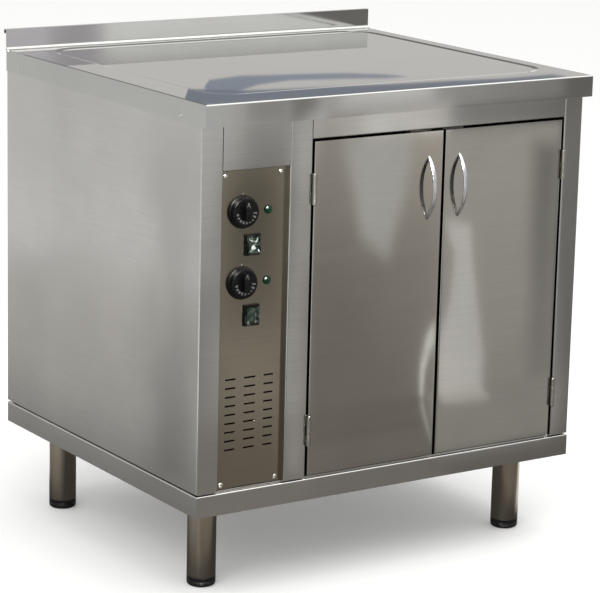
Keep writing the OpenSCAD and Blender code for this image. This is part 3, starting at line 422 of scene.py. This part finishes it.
def press_line(bm, run, bend):
    """Draws the sharp step round the sunk field out to the soft bend that a press leaves."""
    low, high = FIELD["low"], FIELD["high"]
    middle = [(a + b) / 2 for a, b in zip(low, high)]
    grow = [1 + 2 * part / (b - a) for part, a, b in zip(run, low, high)]
    ring = [v for v in bm.verts if abs(v.co.z - FIELD["surface"]) < TOUCH
            and all(a - MM < c < b + MM for a, c, b in zip(low, v.co, high))]
    beside = {e.other_vert(v) for v in ring for e in v.link_edges}
    foot = {v for v in beside if FIELD["surface"] - v.co.z > 10 * TOUCH}
    for v in ring:
        v.co.x, v.co.y = [m + (c - m) * g for m, c, g in zip(middle, v.co, grow)]
    rounded(bm, [e for e in bm.edges for line in (ring, foot) if all(v in line for v in e.verts)],
            bend, 4)


def fold(bm, radius):
    """Rounds the edges that are bent back from the front of a door's skin."""
    low = [min(v.co[i] for v in bm.verts) for i in range(3)]
    high = [max(v.co[i] for v in bm.verts) for i in range(3)]
    rounded(bm, [e for e in bm.edges if all(v.co.y - low[1] < TOUCH for v in e.verts)
                 and any(all(abs(v.co[i] - end[i]) < TOUCH for v in e.verts)
                         for i in (0, 2) for end in (low, high))], radius, 3)


def ribs(bm, bottom, axis, depth):
    """Turns fine grooves round a foot's collar."""
    half_width, collar = 0.8 * MM, 20 * MM
    for rise in (5 * MM, 8.2 * MM, 11.4 * MM):
        for step in (-half_width, 0, half_width):
            bmesh.ops.bisect_plane(bm, geom=bm.verts[:] + bm.edges[:] + bm.faces[:], dist=SAME,
                                   plane_co=(0, 0, bottom + rise + step), plane_no=(0, 0, 1))
        for v in bm.verts:
            out = Vector((v.co.x - axis.x, v.co.y - axis.y, 0))
            if abs(v.co.z - bottom - rise) < TOUCH and out.length > collar:
                v.co -= out.normalized() * depth


def eased_copy(node, width, segments=2, shape=None):
    """A CAD node's shape with its cut edges eased, as a piece that replaces it."""
    bm = bmesh.new()
    bm.from_mesh(frame["nodes"][node].data)
    bmesh.ops.remove_doubles(bm, verts=bm.verts, dist=SAME)
    bmesh.ops.dissolve_limit(bm, angle_limit=radians(0.4), verts=bm.verts, edges=bm.edges)
    if shape:
        shape(bm)
    rounded(bm, [e for e in bm.edges if e.is_manifold and e.calc_face_angle() > radians(38)],
            width, segments)
    piece = finish(bm, node + "_sheet", SLOT_OF[node], BODY_OF[node], [node])
    weighting = piece.modifiers.new("flat faces stay flat", "WEIGHTED_NORMAL")
    weighting.keep_sharp = True
    return piece


def turned(profile, steps=64):
    """A bmesh turned about Z from points of radius and height in millimetres."""
    bm = bmesh.new()
    points = [bm.verts.new((radius * MM, 0, height * MM)) for radius, height in profile]
    edges = [bm.edges.new(pair) for pair in zip(points, points[1:])]
    bmesh.ops.spin(bm, geom=points + edges, axis=(0, 0, 1), cent=(0, 0, 0),
                   angle=2 * pi, steps=steps, use_merge=True)
    bmesh.ops.remove_doubles(bm, verts=bm.verts, dist=SAME)
    bmesh.ops.recalc_face_normals(bm, faces=bm.faces)
    return bm


def moved(bm, matrix):
    """The same bmesh, moved to its place on the cabinet."""
    bmesh.ops.transform(bm, matrix=matrix, verts=bm.verts)
    return bm


def facing_front(x, y, z):
    """The matrix that stands a shape, drawn on the XY plane, out of a front panel."""
    return Matrix.Translation((x, y, z)) @ Matrix.Rotation(radians(90), 4, "X")


def centre(node):
    low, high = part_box(node)
    return (Vector(low) + Vector(high)) / 2


def rounded_block(bm, size, middle, radius, segments=3):
    """Adds a block with rounded edges, sizes in millimetres."""
    made = bmesh.ops.create_cube(bm, size=1, matrix=Matrix.Translation(Vector(middle) * MM)
                                 @ Matrix.Diagonal((*[s * MM for s in size], 1)))
    rounded(bm, {e for v in made["verts"] for e in v.link_edges}, radius * MM, segments)


# pieces


class WARMER_OT_sheets(bpy.types.Operator):
    """Eases the cut edges of the folded sheets"""

    bl_idname = "warmer.sheets"
    bl_label = "Folded sheets"

    def execute(self, context):
        sheet = settings("warmer_sheet")
        burr = sheet.burr
        eased_copy("worktop", burr, shape=lambda bm: press_line(bm, sheet.press_run, 1.4 * MM))
        for node in ("base_tray", "side_panel_left", "side_panel_right", "back_panel",
                     "middle_post", "top_rail", "panel_fascia", "control_panel",
                     "door_left_liner", "door_right_liner"):
            eased_copy(node, burr)
        for node in ("door_left_skin", "door_right_skin"):
            eased_copy(node, burr, shape=lambda bm: fold(bm, sheet.fold))
        return {"FINISHED"}


class WARMER_OT_handles(bpy.types.Operator):
    """Makes the two bow handles"""

    bl_idname = "warmer.handles"
    bl_label = "Handles"

    def execute(self, context):
        taper = settings("warmer_sheet").handle_taper
        width, thickness, corner = 8 * MM, 3.4 * MM, 1.4 * MM
        for side in ("left", "right"):
            node = "handle_" + side
            low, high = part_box(node)
            half = (high[2] - low[2]) / 2
            reach = high[1] - low[1]
            radius = (half ** 2 + reach ** 2) / (2 * reach)
            half_angle = atan2(half, radius - reach)
            middle = centre(node)
            hub = Vector((middle.x, low[1] + radius, middle.z))
            bm = bmesh.new()
            place = Matrix.Translation((middle.x, low[1] + thickness / 2, middle.z))
            bmesh.ops.create_grid(bm, x_segments=1, y_segments=1, size=0.5,
                                  matrix=place @ Matrix.Diagonal((width, thickness, 1, 1)))
            rounded(bm, bm.verts, corner, 4, affect="VERTICES")
            bmesh.ops.delete(bm, geom=bm.faces[:], context="FACES_ONLY")
            bmesh.ops.rotate(bm, verts=bm.verts, cent=hub,
                             matrix=Matrix.Rotation(-half_angle, 3, "X"))
            bmesh.ops.spin(bm, geom=bm.verts[:] + bm.edges[:], cent=hub, axis=(1, 0, 0),
                           angle=2 * half_angle, steps=40)
            bmesh.ops.holes_fill(bm, edges=[e for e in bm.edges if e.is_boundary])
            for v in bm.verts:
                along = min(1, abs(v.co.z - middle.z) / half)
                full = taper + (1 - taper) * (1 - along ** 2) ** 0.5
                v.co.x = middle.x + (v.co.x - middle.x) * full
            bmesh.ops.recalc_face_normals(bm, faces=bm.faces)
            finish(bm, node + "_bow", SLOT_OF[node], BODY_OF[node], [node])
        return {"FINISHED"}


class WARMER_OT_hinges(bpy.types.Operator):
    """Eases the knuckles and leaves of the hinges"""

    bl_idname = "warmer.hinges"
    bl_label = "Hinges"

    def execute(self, context):
        for node in ("hinge_post_leaves_left", "hinge_post_leaves_right",
                     "hinge_door_leaves_left", "hinge_door_leaves_right", "hinge_pins"):
            eased_copy(node, 0.7 * MM)
        return {"FINISHED"}


class WARMER_OT_knobs(bpy.types.Operator):
    """Makes the thermostat knobs, with their numerals and pointers"""

    bl_idname = "warmer.knobs"
    bl_label = "Thermostat knobs"

    def execute(self, context):
        height = settings("warmer_controls").numeral_height
        for which in ("upper", "lower"):
            node = "knob_" + which
            low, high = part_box(node)
            middle = centre(node)
            stand = facing_front(middle.x, high[1], middle.z)
            bm = turned([
                (0, 0), (27.6, 0), (28, 0.4), (28, 1.9), (27.5, 2.5), (26.6, 2.9), (25.1, 9.6),
                (24.8, 10.6), (24.1, 11.4), (23.2, 11.7), (17.5, 11.5), (0, 11.5)], 96)
            self.grip(bm)
            moved(bm, stand)
            finish(bm, node + "_dial", "knob_plastic", BODY_OF[node], [node], smooth=40)
            bm = bmesh.new()
            rounded_block(bm, (0.5, 5, 0.5), (0, 12.2, 21.7), 0.15, segments=1)
            moved(bm, stand)
            finish(bm, node + "_pointer", "knob_plastic", BODY_OF[node], paint="print")
            self.numerals(node, stand, height)
            bm = bmesh.new()
            rounded_block(bm, (1.4, 2.6, 0.16), (0, 30.4, 0.08), 0.05, segments=1)
            panel_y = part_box("control_panel")[0][1]
            moved(bm, facing_front(middle.x, panel_y, middle.z))
            finish(bm, node + "_index", "knob_plastic", BODY_OF["control_panel"], paint="print")
        return {"FINISHED"}

    def grip(self, bm):
        """Adds the raised bar across the dial: pointed at its upper end, waisted and rounded."""
        outline = [(-6.2, -9.5), (-4.2, -12.6), (0, -13.8), (4.2, -12.6), (6.2, -9.5),
                   (5.7, 0), (6.3, 10.6), (0, 18.7), (-6.3, 10.6), (-5.7, 0)]
        foot, rise, edge = 11 * MM, 10.8 * MM, 1.3 * MM
        face = bmesh.ops.contextual_create(
            bm, geom=[bm.verts.new((x * MM, y * MM, foot)) for x, y in outline])["faces"][0]
        risen = bmesh.ops.extrude_face_region(bm, geom=[face])["geom"]
        corners = [v for v in risen if isinstance(v, bmesh.types.BMVert)]
        bmesh.ops.translate(bm, vec=(0, 0, rise), verts=corners)
        top = [e for e in risen if isinstance(e, bmesh.types.BMEdge)]
        sides = [e for v in corners for e in v.link_edges if e not in top]
        rounded(bm, top + sides, edge, 4)
        bmesh.ops.recalc_face_normals(bm, faces=bm.faces)

    def numerals(self, node, stand, height):
        """Prints 30 to 110 round the dial, so that each comes to the top as the knob turns."""
        first, pitch = 97, 21
        radius, face = 16.6 * MM, 11.6 * MM
        for count, value in enumerate(range(30, 120, 10)):
            curve = bpy.data.curves.new(f"{node}_{value}", "FONT")
            curve.body = str(value)
            curve.size = height
            curve.align_x = "CENTER"
            curve.align_y = "CENTER"
            curve.extrude = 0.12 * MM
            text = placed(f"{node}_text", curve)
            bpy.context.view_layer.update()
            mesh = bpy.data.meshes.new_from_object(text)
            bpy.data.objects.remove(text)
            bm = bmesh.new()
            bm.from_mesh(mesh)
            turn = Matrix.Rotation(radians(first + count * pitch), 4, "Z")
            reading = Matrix.Rotation(radians(90), 4, "Z")
            moved(bm, stand @ turn @ Matrix.Translation((0, radius, face)) @ reading)
            finish(bm, f"{node}_numeral_{value}", "knob_plastic", BODY_OF[node],
                   smooth=0, paint="print")


class WARMER_OT_lamps(bpy.types.Operator):
    """Makes the faceted lenses of the pilot lamps"""

    bl_idname = "warmer.lamps"
    bl_label = "Pilot lamps"

    def execute(self, context):
        facets = settings("warmer_controls").lamp_facets
        low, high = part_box("lamp_lenses")
        radius = (high[0] - low[0]) / 2
        rings = ((0.97, 1.4), (0.9, 2.9), (0.56, 4.8), (0.18, 5.9))
        for which, z in (("upper", high[2] - radius), ("lower", low[2] + radius)):
            stand = facing_front((low[0] + high[0]) / 2, high[1], z)
            bm = bmesh.new()
            for ring, (part, rise) in enumerate(rings):
                place = Matrix.Translation((0, 0, rise * MM))
                made = bmesh.ops.create_circle(
                    bm, segments=facets, radius=radius * part,
                    matrix=place @ Matrix.Rotation(pi / facets * ring, 4, "Z"))
                loop = list({e for v in made["verts"] for e in v.link_edges})
                if ring:
                    bmesh.ops.bridge_loops(bm, edges=loop + previous)
                previous = loop
            bmesh.ops.contextual_create(bm, geom=previous)
            bmesh.ops.recalc_face_normals(bm, faces=bm.faces)
            moved(bm, stand)
            finish(bm, f"lamp_{which}_lens", "green_plastic", BODY_OF["lamp_lenses"],
                   ["lamp_lenses"], smooth=0)
            bm = turned([(0, 0), (7.2, 0), (7.5, 0.3), (7.5, 1.1), (7.2, 1.5), (6.6, 1.6),
                         (0, 1.6)], 48)
            moved(bm, stand)
            finish(bm, f"lamp_{which}_flange", "green_plastic", BODY_OF["lamp_lenses"])
        return {"FINISHED"}


class WARMER_OT_switches(bpy.types.Operator):
    """Eases the switches and their covers"""

    bl_idname = "warmer.switches"
    bl_label = "Rocker switches"

    def execute(self, context):
        edge = settings("warmer_controls").edge
        for node in ("switch_body_upper", "switch_body_lower", "rocker_upper", "rocker_lower"):
            eased_copy(node, edge, segments=3)
            if node.startswith("rocker"):
                self.marks(node)
        eased_copy("switch_covers", 0.35 * MM, segments=3)
        return {"FINISHED"}

    def marks(self, node):
        """Prints the marks for on and off on the two halves of the rocker's face. They are also a
        painted glint: light marks that stand in for the white glints on the clear cover.

        At rest the lower half is upright and the upper one leans out. halves has each
        mark's depth in the cabinet, its height over the middle and the lean of its half.
        """
        middle = centre(node)
        halves = {"on": (-330.7, 5.6, 20), "off": (-328.42, -5.8, 0)}
        for name, (y, rise, lean) in halves.items():
            if name == "on":
                bm = bmesh.new()
                rounded_block(bm, (1.2, 6.0, 0.4), (0, 0, -0.05), 0.1, segments=1)
            else:
                bm = turned([(2.1, 0), (2.1, 0.14), (3.1, 0.14), (3.1, 0)], 32)
            moved(bm, facing_front(middle.x, y * MM, middle.z + rise * MM)
                  @ Matrix.Rotation(radians(lean), 4, "X"))
            finish(bm, f"{node}_mark_{name}", "green_plastic", BODY_OF[node], paint="print")


class WARMER_OT_legs(bpy.types.Operator):
    """Eases the legs and feet"""

    bl_idname = "warmer.legs"
    bl_label = "Legs and feet"

    def execute(self, context):
        for end in ("front", "back"):
            for side in ("left", "right"):
                eased_copy(f"leg_{end}_{side}", 0.4 * MM)
                foot = f"foot_{end}_{side}"
                eased_copy(foot, 0.8 * MM, segments=3, shape=lambda bm: ribs(
                    bm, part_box(foot)[0][2], centre(foot), 0.9 * MM))
        return {"FINISHED"}


class WARMER_OT_finishes(bpy.types.Operator):
    """Gives every other part of the frame its finish"""

    bl_idname = "warmer.finishes"
    bl_label = "Finishes"

    def execute(self, context):
        for node, part in frame["nodes"].items():
            part.data.materials.clear()
            part.data.materials.append(MATERIALS[SLOT_OF[node]])
        return {"FINISHED"}


# studio


WARM, COOL, LIT = (1.0, 0.975, 0.94), (0.84, 0.93, 1.1), (1.0, 0.995, 0.985)
BROWN, LILAC = (1.0, 0.93, 0.86), (1.0, 0.97, 1.03)
# The planes of the cards before and behind the cabinet: a nearer one hides a farther one
FRONT, NEAR, NEAREST = -1.25, -1.235, -1.22
BACK, BACK_NEAR, BACK_NEAREST = 2.0, 1.99, 1.98


def upright(y, x0, x1, z0, z1, foot, head):
    """Corners of a standing card, with its brightness at the foot and the head."""
    return [(x0, y, z0, foot), (x1, y, z0, foot), (x1, y, z1, head), (x0, y, z1, head)]


def flat(x0, x1, y0, y1, left, right, z=0.001):
    """Corners of a card on the floor, with its brightness at the left and the right."""
    return [(x0, y0, z, left), (x1, y0, z, right), (x1, y1, z, right), (x0, y1, z, left)]


def standing(y, strength, *outline):
    """Corners of an even card that stands, from its outline in x and z."""
    return [(x, y, z, strength) for x, z in outline]


def lying(z, strength, *outline):
    """Corners of an even card that lies, from its outline in x and y."""
    return [(x, y, z, strength) for x, y in outline]


def seen(tree):
    """1 for what the camera sees, straight on or in metal or glass, and 0 for light."""
    path = add(tree, "ShaderNodeLightPath")
    either = add(tree, "ShaderNodeMath", {
        0: path.outputs["Is Camera Ray"], 1: path.outputs["Is Glossy Ray"]},
        operation="MAXIMUM").outputs[0]
    return add(tree, "ShaderNodeMath", {
        0: either, 1: path.outputs["Is Transmission Ray"]}, operation="MAXIMUM").outputs[0]


def card_paint(name, twice):
    """Glows with the brightness painted on a card and is clear where its edge fades.

    A card for twice is seen only by light that metal has turned back twice, as where the
    worktop mirrors the upstand, so it leaves the upstand's own face as it is.
    """
    material = bpy.data.materials.new(name)
    material.use_nodes = True
    tree = material.node_tree
    tree.nodes.clear()
    glow = add(tree, "ShaderNodeAttribute", attribute_name="glow")
    light = add(tree, "ShaderNodeEmission", {"Color": glow.outputs["Color"]})
    shown = glow.outputs["Alpha"]
    if twice:
        depth = add(tree, "ShaderNodeLightPath").outputs["Glossy Depth"]
        second = add(tree, "ShaderNodeMath", {0: depth, 1: 1.5}, operation="GREATER_THAN")
        shown = add(tree, "ShaderNodeMath", {0: shown, 1: second.outputs[0]},
                    operation="MULTIPLY").outputs[0]
    faded = add(tree, "ShaderNodeMixShader", {
        0: shown, 1: add(tree, "ShaderNodeBsdfTransparent").outputs[0], 2: light.outputs[0]})
    add(tree, "ShaderNodeOutputMaterial", {"Surface": faded.outputs[0]})
    return material


def hang(name, tint, soft, corners, twice=False):
    """Adds a card that only metal sees.

    soft is the width of its fading edge. A corner has its place and the brightness there.
    """
    bm = bmesh.new()
    glow = bm.verts.layers.float_color.new("glow")
    for *spot, strength in corners:
        bm.verts.new(spot)[glow] = (*[part * strength for part in tint], 0 if soft else 1)
    outline = bm.verts[:]
    rim = [bm.edges.new(pair) for pair in zip(outline, outline[1:] + outline[:1])]
    face = bmesh.ops.edgeloop_fill(bm, edges=rim)["faces"]
    if soft:
        bmesh.ops.inset_region(bm, faces=face, thickness=soft, use_boundary=True,
                               use_even_offset=True)
        for v in set(bm.verts) - set(outline):
            beside = min(outline, key=lambda o: (o.co - v.co).length)
            v[glow] = (*beside[glow][:3], 1)
    mesh = mesh_of(bm, name)
    mesh.materials.append(card_paint(name, twice))
    card = placed(name, mesh)
    card.visible_camera = card.visible_diffuse = card.visible_shadow = False
    card.visible_transmission = card.visible_volume_scatter = False


class WARMER_OT_studio(bpy.types.Operator):
    """Sets up the floor, the lights and the camera"""

    bl_idname = "warmer.studio"
    bl_label = "Studio"

    def execute(self, context):
        scene = context.scene
        scene.view_settings.view_transform = "Standard"
        self.world(scene)
        self.floor()
        self.floor_cards()
        self.side_cards()
        self.control_cards()
        self.door_cards()
        self.apron_cards()
        self.upstand_cards()
        self.back_cards()
        self.lights()
        self.camera(scene)
        return {"FINISHED"}

    def world(self, scene):
        """White all round, a little dimmer as light than to the eye."""
        studio = settings("warmer_studio")
        world = bpy.data.worlds.new("studio")
        scene.world = world
        world.use_nodes = True
        tree = world.node_tree
        background = tree.nodes["Background"]
        tree.links.new(add(tree, "ShaderNodeMapRange", {
            "Value": seen(tree), "To Min": studio.level, "To Max": 1.0}).outputs[0],
            background.inputs["Strength"])
        background.inputs["Color"].default_value = (1, 1, 1, 1)

    def floor(self):
        """A pale floor, lifted by a faint glow so that it runs into the white behind."""
        studio = settings("warmer_studio")
        lift, half_width = 0.16, 30
        material, tree, shader = new_material("pale studio floor", studio.floor, 0, 0.9)
        glow = add(tree, "ShaderNodeEmission", {
            "Color": (1, 1, 1, 1),
            "Strength": add(tree, "ShaderNodeMath", {0: seen(tree), 1: lift},
                            operation="MULTIPLY").outputs[0]})
        tree.links.new(add(tree, "ShaderNodeAddShader", {
            0: shader.outputs[0], 1: glow.outputs[0]}).outputs[0],
            tree.nodes["Material Output"].inputs["Surface"])
        bm = bmesh.new()
        bmesh.ops.create_grid(bm, x_segments=1, y_segments=1, size=half_width)
        mesh = mesh_of(bm, "studio_floor")
        mesh.materials.append(material)
        floor = placed("studio_floor", mesh)

    def floor_cards(self):
        """What the doors and the skirt mirror from the floor before them."""
        hang("front_flag", WARM, 0, upright(FRONT, -1.3, 3.4, 0.001, 0.88, 0.66, 0.95))
        hang("floor_near_flag", BROWN, 0.05, flat(-1.3, 3.4, -1.08, -0.3, 0.48, 0.07, 0.0015))
        hang("floor_far_flag", BROWN, 0, flat(-1.3, 3.4, FRONT, -0.95, 0.4, 0.3))
        hang("floor_door_flag", WARM, 0.01, lying(
            0.0025, 0.6,
            (0.745, -1.25), (1.10, -1.25), (1.08, -1.21), (0.79, -0.85), (0.47, -0.85)))
        hang("floor_column_light", WARM, 0.008, lying(
            0.003, 1.1, (0.76, -1.23), (0.885, -1.23), (0.85, -1.145), (0.715, -1.145)))
        hang("floor_skirt_flag", BROWN, 0.01, lying(
            0.0022, 0.22, (0.42, -0.66), (0.8, -0.66), (0.8, -0.85), (0.42, -0.85)))
        hang("floor_post_flag", WARM, 0.01, lying(
            0.0025, 0.6, (0.13, -0.87), (0.183, -0.87), (0.4115, -1.22), (0.354, -1.22)))
        # A dark card under the cabinet: painted shade, standing in for the shaded floor there as the
        # legs and the skirt mirror it.
        hang("under_shade_flag", WARM, 0.1, flat(-0.5, 0.5, -0.5, 0.5, 0.08, 0.08, 0.002))

    def side_cards(self):
        """What the left side mirrors: the floor beside it, with two darker edges on it."""
        hang("side_near_flag", WARM, 0, [
            (-0.86, -0.4, 0.001, 0.5), (-0.42, -0.4, 0.001, 0.1),
            (-0.42, 2.2, 0.001, 0.35), (-0.86, 2.2, 0.001, 0.85)])
        hang("side_far_flag", WARM, 0, flat(-1.6, -0.86, -0.4, 2.2, 0.96, 0.72))
        hang("side_edge_flag", WARM, 0.05, [
            (-0.70, 0.14, 0.002, 0.3), (-1.83, 1.986, 0.002, 0.77),
            (-1.83, 2.302, 0.002, 0.77), (-0.70, 0.359, 0.002, 0.3)])
        hang("side_edge_far_flag", WARM, 0.05, [
            (-1.78, 1.905, 0.0025, 0.77), (-2.75, 3.488, 0.0025, 0.79),
            (-2.75, 3.885, 0.0025, 0.79), (-1.78, 2.216, 0.0025, 0.77)])

    def control_cards(self):
        """What the stile, the control panel, the fascia and the middle post mirror."""
        hang("stile_shade", WARM, 0.06, upright(NEAR, -1.3, 0.23, -0.1, 0.38, 0.43, 0.5))
        hang("stile_light", LIT, 0.03, upright(NEAR, 0.09, 0.22, 0.32, 0.88, 0.76, 1.05))
        hang("panel_shade", WARM, 0.03, upright(NEAR, 0.2, 0.38, 0.18, 0.55, 0.38, 0.14))
        hang("fascia_shade", WARM, 0.02, upright(NEAR, 0.24, 0.38, 0.53, 0.64, 0.48, 0.48))
        hang("post_light", LIT, 0.008, standing(
            NEAREST, 1.1, (0.37, 0.38), (0.39, 0.42), (0.43, 0.60), (0.43, 0.66), (0.37, 0.66)))

    def door_cards(self):
        """What the doors mirror: dark cards, a bright column and softer lights."""
        hang("door_lower_shade", BROWN, 0.012, [
            (0.416, NEAR, -0.1, 0.36), (0.766, NEAR, -0.1, 0.40),
            (0.766, NEAR, 0.342, 0.62), (0.416, NEAR, 0.342, 0.44)])
        hang("door_upper_shade", BROWN, 0.012, [
            (0.416, NEAR, 0.318, 0.44), (0.766, NEAR, 0.318, 0.62),
            (0.766, NEAR, 0.66, 1.0), (0.416, NEAR, 0.66, 0.79)])
        hang("door_foot_flag", BROWN, 0.01, lying(
            0.002, 0.39, (0.18, -0.865), (0.485, -0.865), (0.60, -1.03), (0.29, -1.03)))
        hang("door_light", LIT, 0.034, standing(
            NEAREST, 0.98,
            (0.461, 0.618), (0.479, 0.534), (0.505, 0.436), (0.523, 0.363), (0.616, 0.295),
            (0.635, 0.352), (0.663, 0.443), (0.678, 0.529), (0.682, 0.602)))
        hang("sliver_light", LIT, 0, standing(
            NEAREST, 1.6,
            (0.744, 0.175), (0.721, 0.139), (0.707, 0.080), (0.707, 0.040), (0.709, -0.003),
            (0.719, -0.005), (0.719, 0.027), (0.721, 0.065), (0.733, 0.102), (0.746, 0.125)))
        hang("sliver_foot_light", LIT, 0, lying(
            0.003, 1.0,
            (0.691, -1.195), (0.646, -1.129), (0.580, -1.024), (0.504, -0.898),
            (0.536, -0.946), (0.602, -1.047), (0.652, -1.125), (0.698, -1.191)))
        hang("column_light", LIT, 0.008, standing(
            NEAREST, 1.22,
            (0.755, 0.398), (0.762, 0.353), (0.781, 0.318), (0.778, 0.218), (0.764, 0.161),
            (0.754, 0.102), (0.756, -0.030), (0.785, -0.025), (0.809, -0.008),
            (0.865, -0.021), (0.881, -0.010), (0.880, 0.071), (0.866, 0.150),
            (0.843, 0.278), (0.831, 0.380)))
        hang("right_shade", WARM, 0.01, upright(NEAR, 1.075, 1.16, -0.1, 0.66, 0.22, 0.34))
        hang("door_dusk", WARM, 0.045, upright(NEAR, 0.985, 1.1, -0.1, 0.56, 0.52, 0.42))

    def apron_cards(self):
        """What the rail over the doors and the worktop's front edge mirror."""
        hang("rail_shade", WARM, 0, [
            (0.40, NEAR, 0.588, 0.05), (1.1, NEAR, 0.588, 0),
            (1.1, NEAR, 0.636, 0), (0.40, NEAR, 0.636, 0.05)])
        hang("rail_light", LIT, 0.004, standing(
            NEAREST, 1.75, (0.528, 0.592), (0.527, 0.632), (0.744, 0.632), (0.768, 0.585)))
        hang("apron_left_shade", WARM, 0.01, upright(NEAR, 0.235, 0.34, 0.638, 0.8, 0.6, 0.6))
        hang("apron_shade", WARM, 0.01, [
            (0.5, NEAR, 0.636, 0.86), (1.06, NEAR, 0.636, 0.5),
            (1.06, NEAR, 0.9, 0.5), (0.5, NEAR, 0.9, 0.86)])
        hang("apron_light", LIT, 0.04, upright(NEAREST, 0.445, 0.71, 0.645, 0.8, 1.3, 1.3))
        hang("apron_dark", WARM, 0.01, upright(NEAREST, 0.33, 0.405, 0.638, 0.8, 0.42, 0.42))
        hang("apron_end_shade", WARM, 0.01, upright(NEAREST, 1.04, 1.6, 0.636, 0.9, 0.3, 0.26))
        hang("far_shade", WARM, 0.01, upright(NEAR, 1.15, 1.6, -0.1, 0.64, 0.26, 0.3))

    def upstand_cards(self):
        """What the upstand shows in the worktop, and the lights over both."""
        glint, overhead = 110, 3.0
        hang("upstand_left_light", LILAC, 0,
             upright(FRONT, -1.3, 0.6, 0.95, 1.5, 1.55, 1.55), twice=True)
        hang("upstand_dark", LILAC, 0.04,
             upright(NEAR, 0.52, 0.7, 0.95, 1.3, 1.1, 1.1), twice=True)
        hang("upstand_light", LIT, 0,
             upright(FRONT, 0.6, 3.4, 0.95, 1.15, 2.4, 1.7), twice=True)
        hang("margin_light", LIT, 0,
             upright(FRONT, 0.6, 3.4, 1.15, 1.5, 1.05, 1.05), twice=True)
        hang("glint_light", LIT, 0, [
            (-1.15, -1.5, 1.42, glint), (-0.6, -1.5, 1.42, glint),
            (-0.6, -1.2, 1.9, glint), (-1.15, -1.2, 1.9, glint)])
        hang("overhead_light", LIT, 0, lying(
            2.8, overhead, (-0.6, -3.6), (3.0, -3.6), (3.0, 1.2), (-0.6, 1.2)))

    def back_cards(self):
        """What the worktop mirrors from behind: a pale card with a streak and a dark band."""
        hang("back_card", WARM, 0, upright(BACK, -0.7, 3.2, 1.06, 1.34, 0.72, 0.74))
        hang("back_upper_flag", WARM, 0, upright(BACK, -0.7, 3.2, 1.33, 3.2, 0.3, 0.3))
        hang("back_streak", COOL, 0.002, standing(
            BACK_NEAR, 0.4,
            (1.022, 1.238), (1.040, 1.216), (1.137, 1.211), (1.329, 1.218), (1.477, 1.225),
            (1.612, 1.236), (1.708, 1.249), (1.612, 1.249), (1.478, 1.242), (1.297, 1.235),
            (1.194, 1.241), (1.147, 1.251), (1.059, 1.256)))
        hang("back_flag", COOL, 0.002, standing(
            BACK_NEAREST, 0.31,
            (0.95, 1.287), (0.97, 1.235), (1.138, 1.249), (1.217, 1.252), (1.664, 1.266),
            (2.016, 1.274), (2.198, 1.273), (2.266, 1.284), (2.017, 1.307)))

    def lights(self):
        """Two softboxes aimed at the cabinet, sizes in metres and powers in watts."""
        for name, spot, aim, size, power in (
                ("softbox_left", (-3.2, -2.4, 3.2), (0, 0, 0.5), 2.2, 60),
                ("softbox_top", (0.6, -0.6, 4.2), (0, 0, 0.8), 3.0, 55)):
            lamp = bpy.data.lights.new(name, "AREA")
            lamp.shape = "SQUARE"
            lamp.size = size
            lamp.energy = power
            holder = placed(name, lamp)
            holder.location = spot
            holder.rotation_euler = (Vector(aim) - Vector(spot)).to_track_quat("-Z", "Y").to_euler()

    def camera(self, scene):
        """The photograph's view, solved from the cabinet's straight edges in it."""
        yaw, pitch, roll = 0.5873, 0.2302, 0.0245
        place = (-2.569986, -3.894252, 1.512344)
        focal_pixels, width_pixels, sensor_width = 2618.5875, 600, 36
        forward = Vector((sin(yaw) * cos(pitch), cos(yaw) * cos(pitch), -sin(pitch)))
        right = Vector((cos(yaw), -sin(yaw), 0))
        up = right.cross(forward)
        level_right = cos(roll) * right + sin(roll) * up
        level_up = cos(roll) * up - sin(roll) * right
        lens = bpy.data.cameras.new("camera")
        lens.sensor_fit = "HORIZONTAL"
        lens.sensor_width = sensor_width
        lens.lens = focal_pixels / width_pixels * sensor_width
        lens.clip_end = 100
        holder = placed("camera", lens)
        turn = Matrix((level_right, level_up, -forward)).transposed().to_4x4()
        holder.matrix_world = Matrix.Translation(place) @ turn
        scene.camera = holder


class WARMER_PT_panel(bpy.types.Panel):
    """The cabinet's settings and pieces"""

    bl_label = "Plate Warmer"
    bl_idname = "WARMER_PT_panel"
    bl_space_type = "VIEW_3D"
    bl_region_type = "UI"
    bl_category = "Warmer"

    def draw(self, context):
        for group in GROUPS:
            for name in GROUPS[group].__annotations__:
                self.layout.prop(getattr(context.scene, group), name)
        for operator in OPERATORS:
            self.layout.operator(operator.bl_idname)


GROUPS = {
    "warmer_finishes": WarmerFinishes,
    "warmer_controls": WarmerControls,
    "warmer_sheet": WarmerSheet,
    "warmer_studio": WarmerStudio,
}
OPERATORS = (
    WARMER_OT_finishes, WARMER_OT_sheets, WARMER_OT_handles, WARMER_OT_hinges, WARMER_OT_knobs,
    WARMER_OT_lamps, WARMER_OT_switches, WARMER_OT_legs, WARMER_OT_studio,
)


def register():
    for kind in (*GROUPS.values(), *OPERATORS, WARMER_PT_panel):
        bpy.utils.register_class(kind)
    for name, kind in GROUPS.items():
        setattr(bpy.types.Scene, name, bpy.props.PointerProperty(type=kind))


def unregister():
    for name in GROUPS:
        delattr(bpy.types.Scene, name)
    for kind in (WARMER_PT_panel, *reversed(OPERATORS), *GROUPS.values()):
        bpy.utils.unregister_class(kind)


def main():
    register()
    make_materials()
    for operator in OPERATORS:
        group, name = operator.bl_idname.split(".")
        getattr(getattr(bpy.ops, group), name)()
    bpy.context.view_layer.update()


if __name__ == "__main__":
    main()
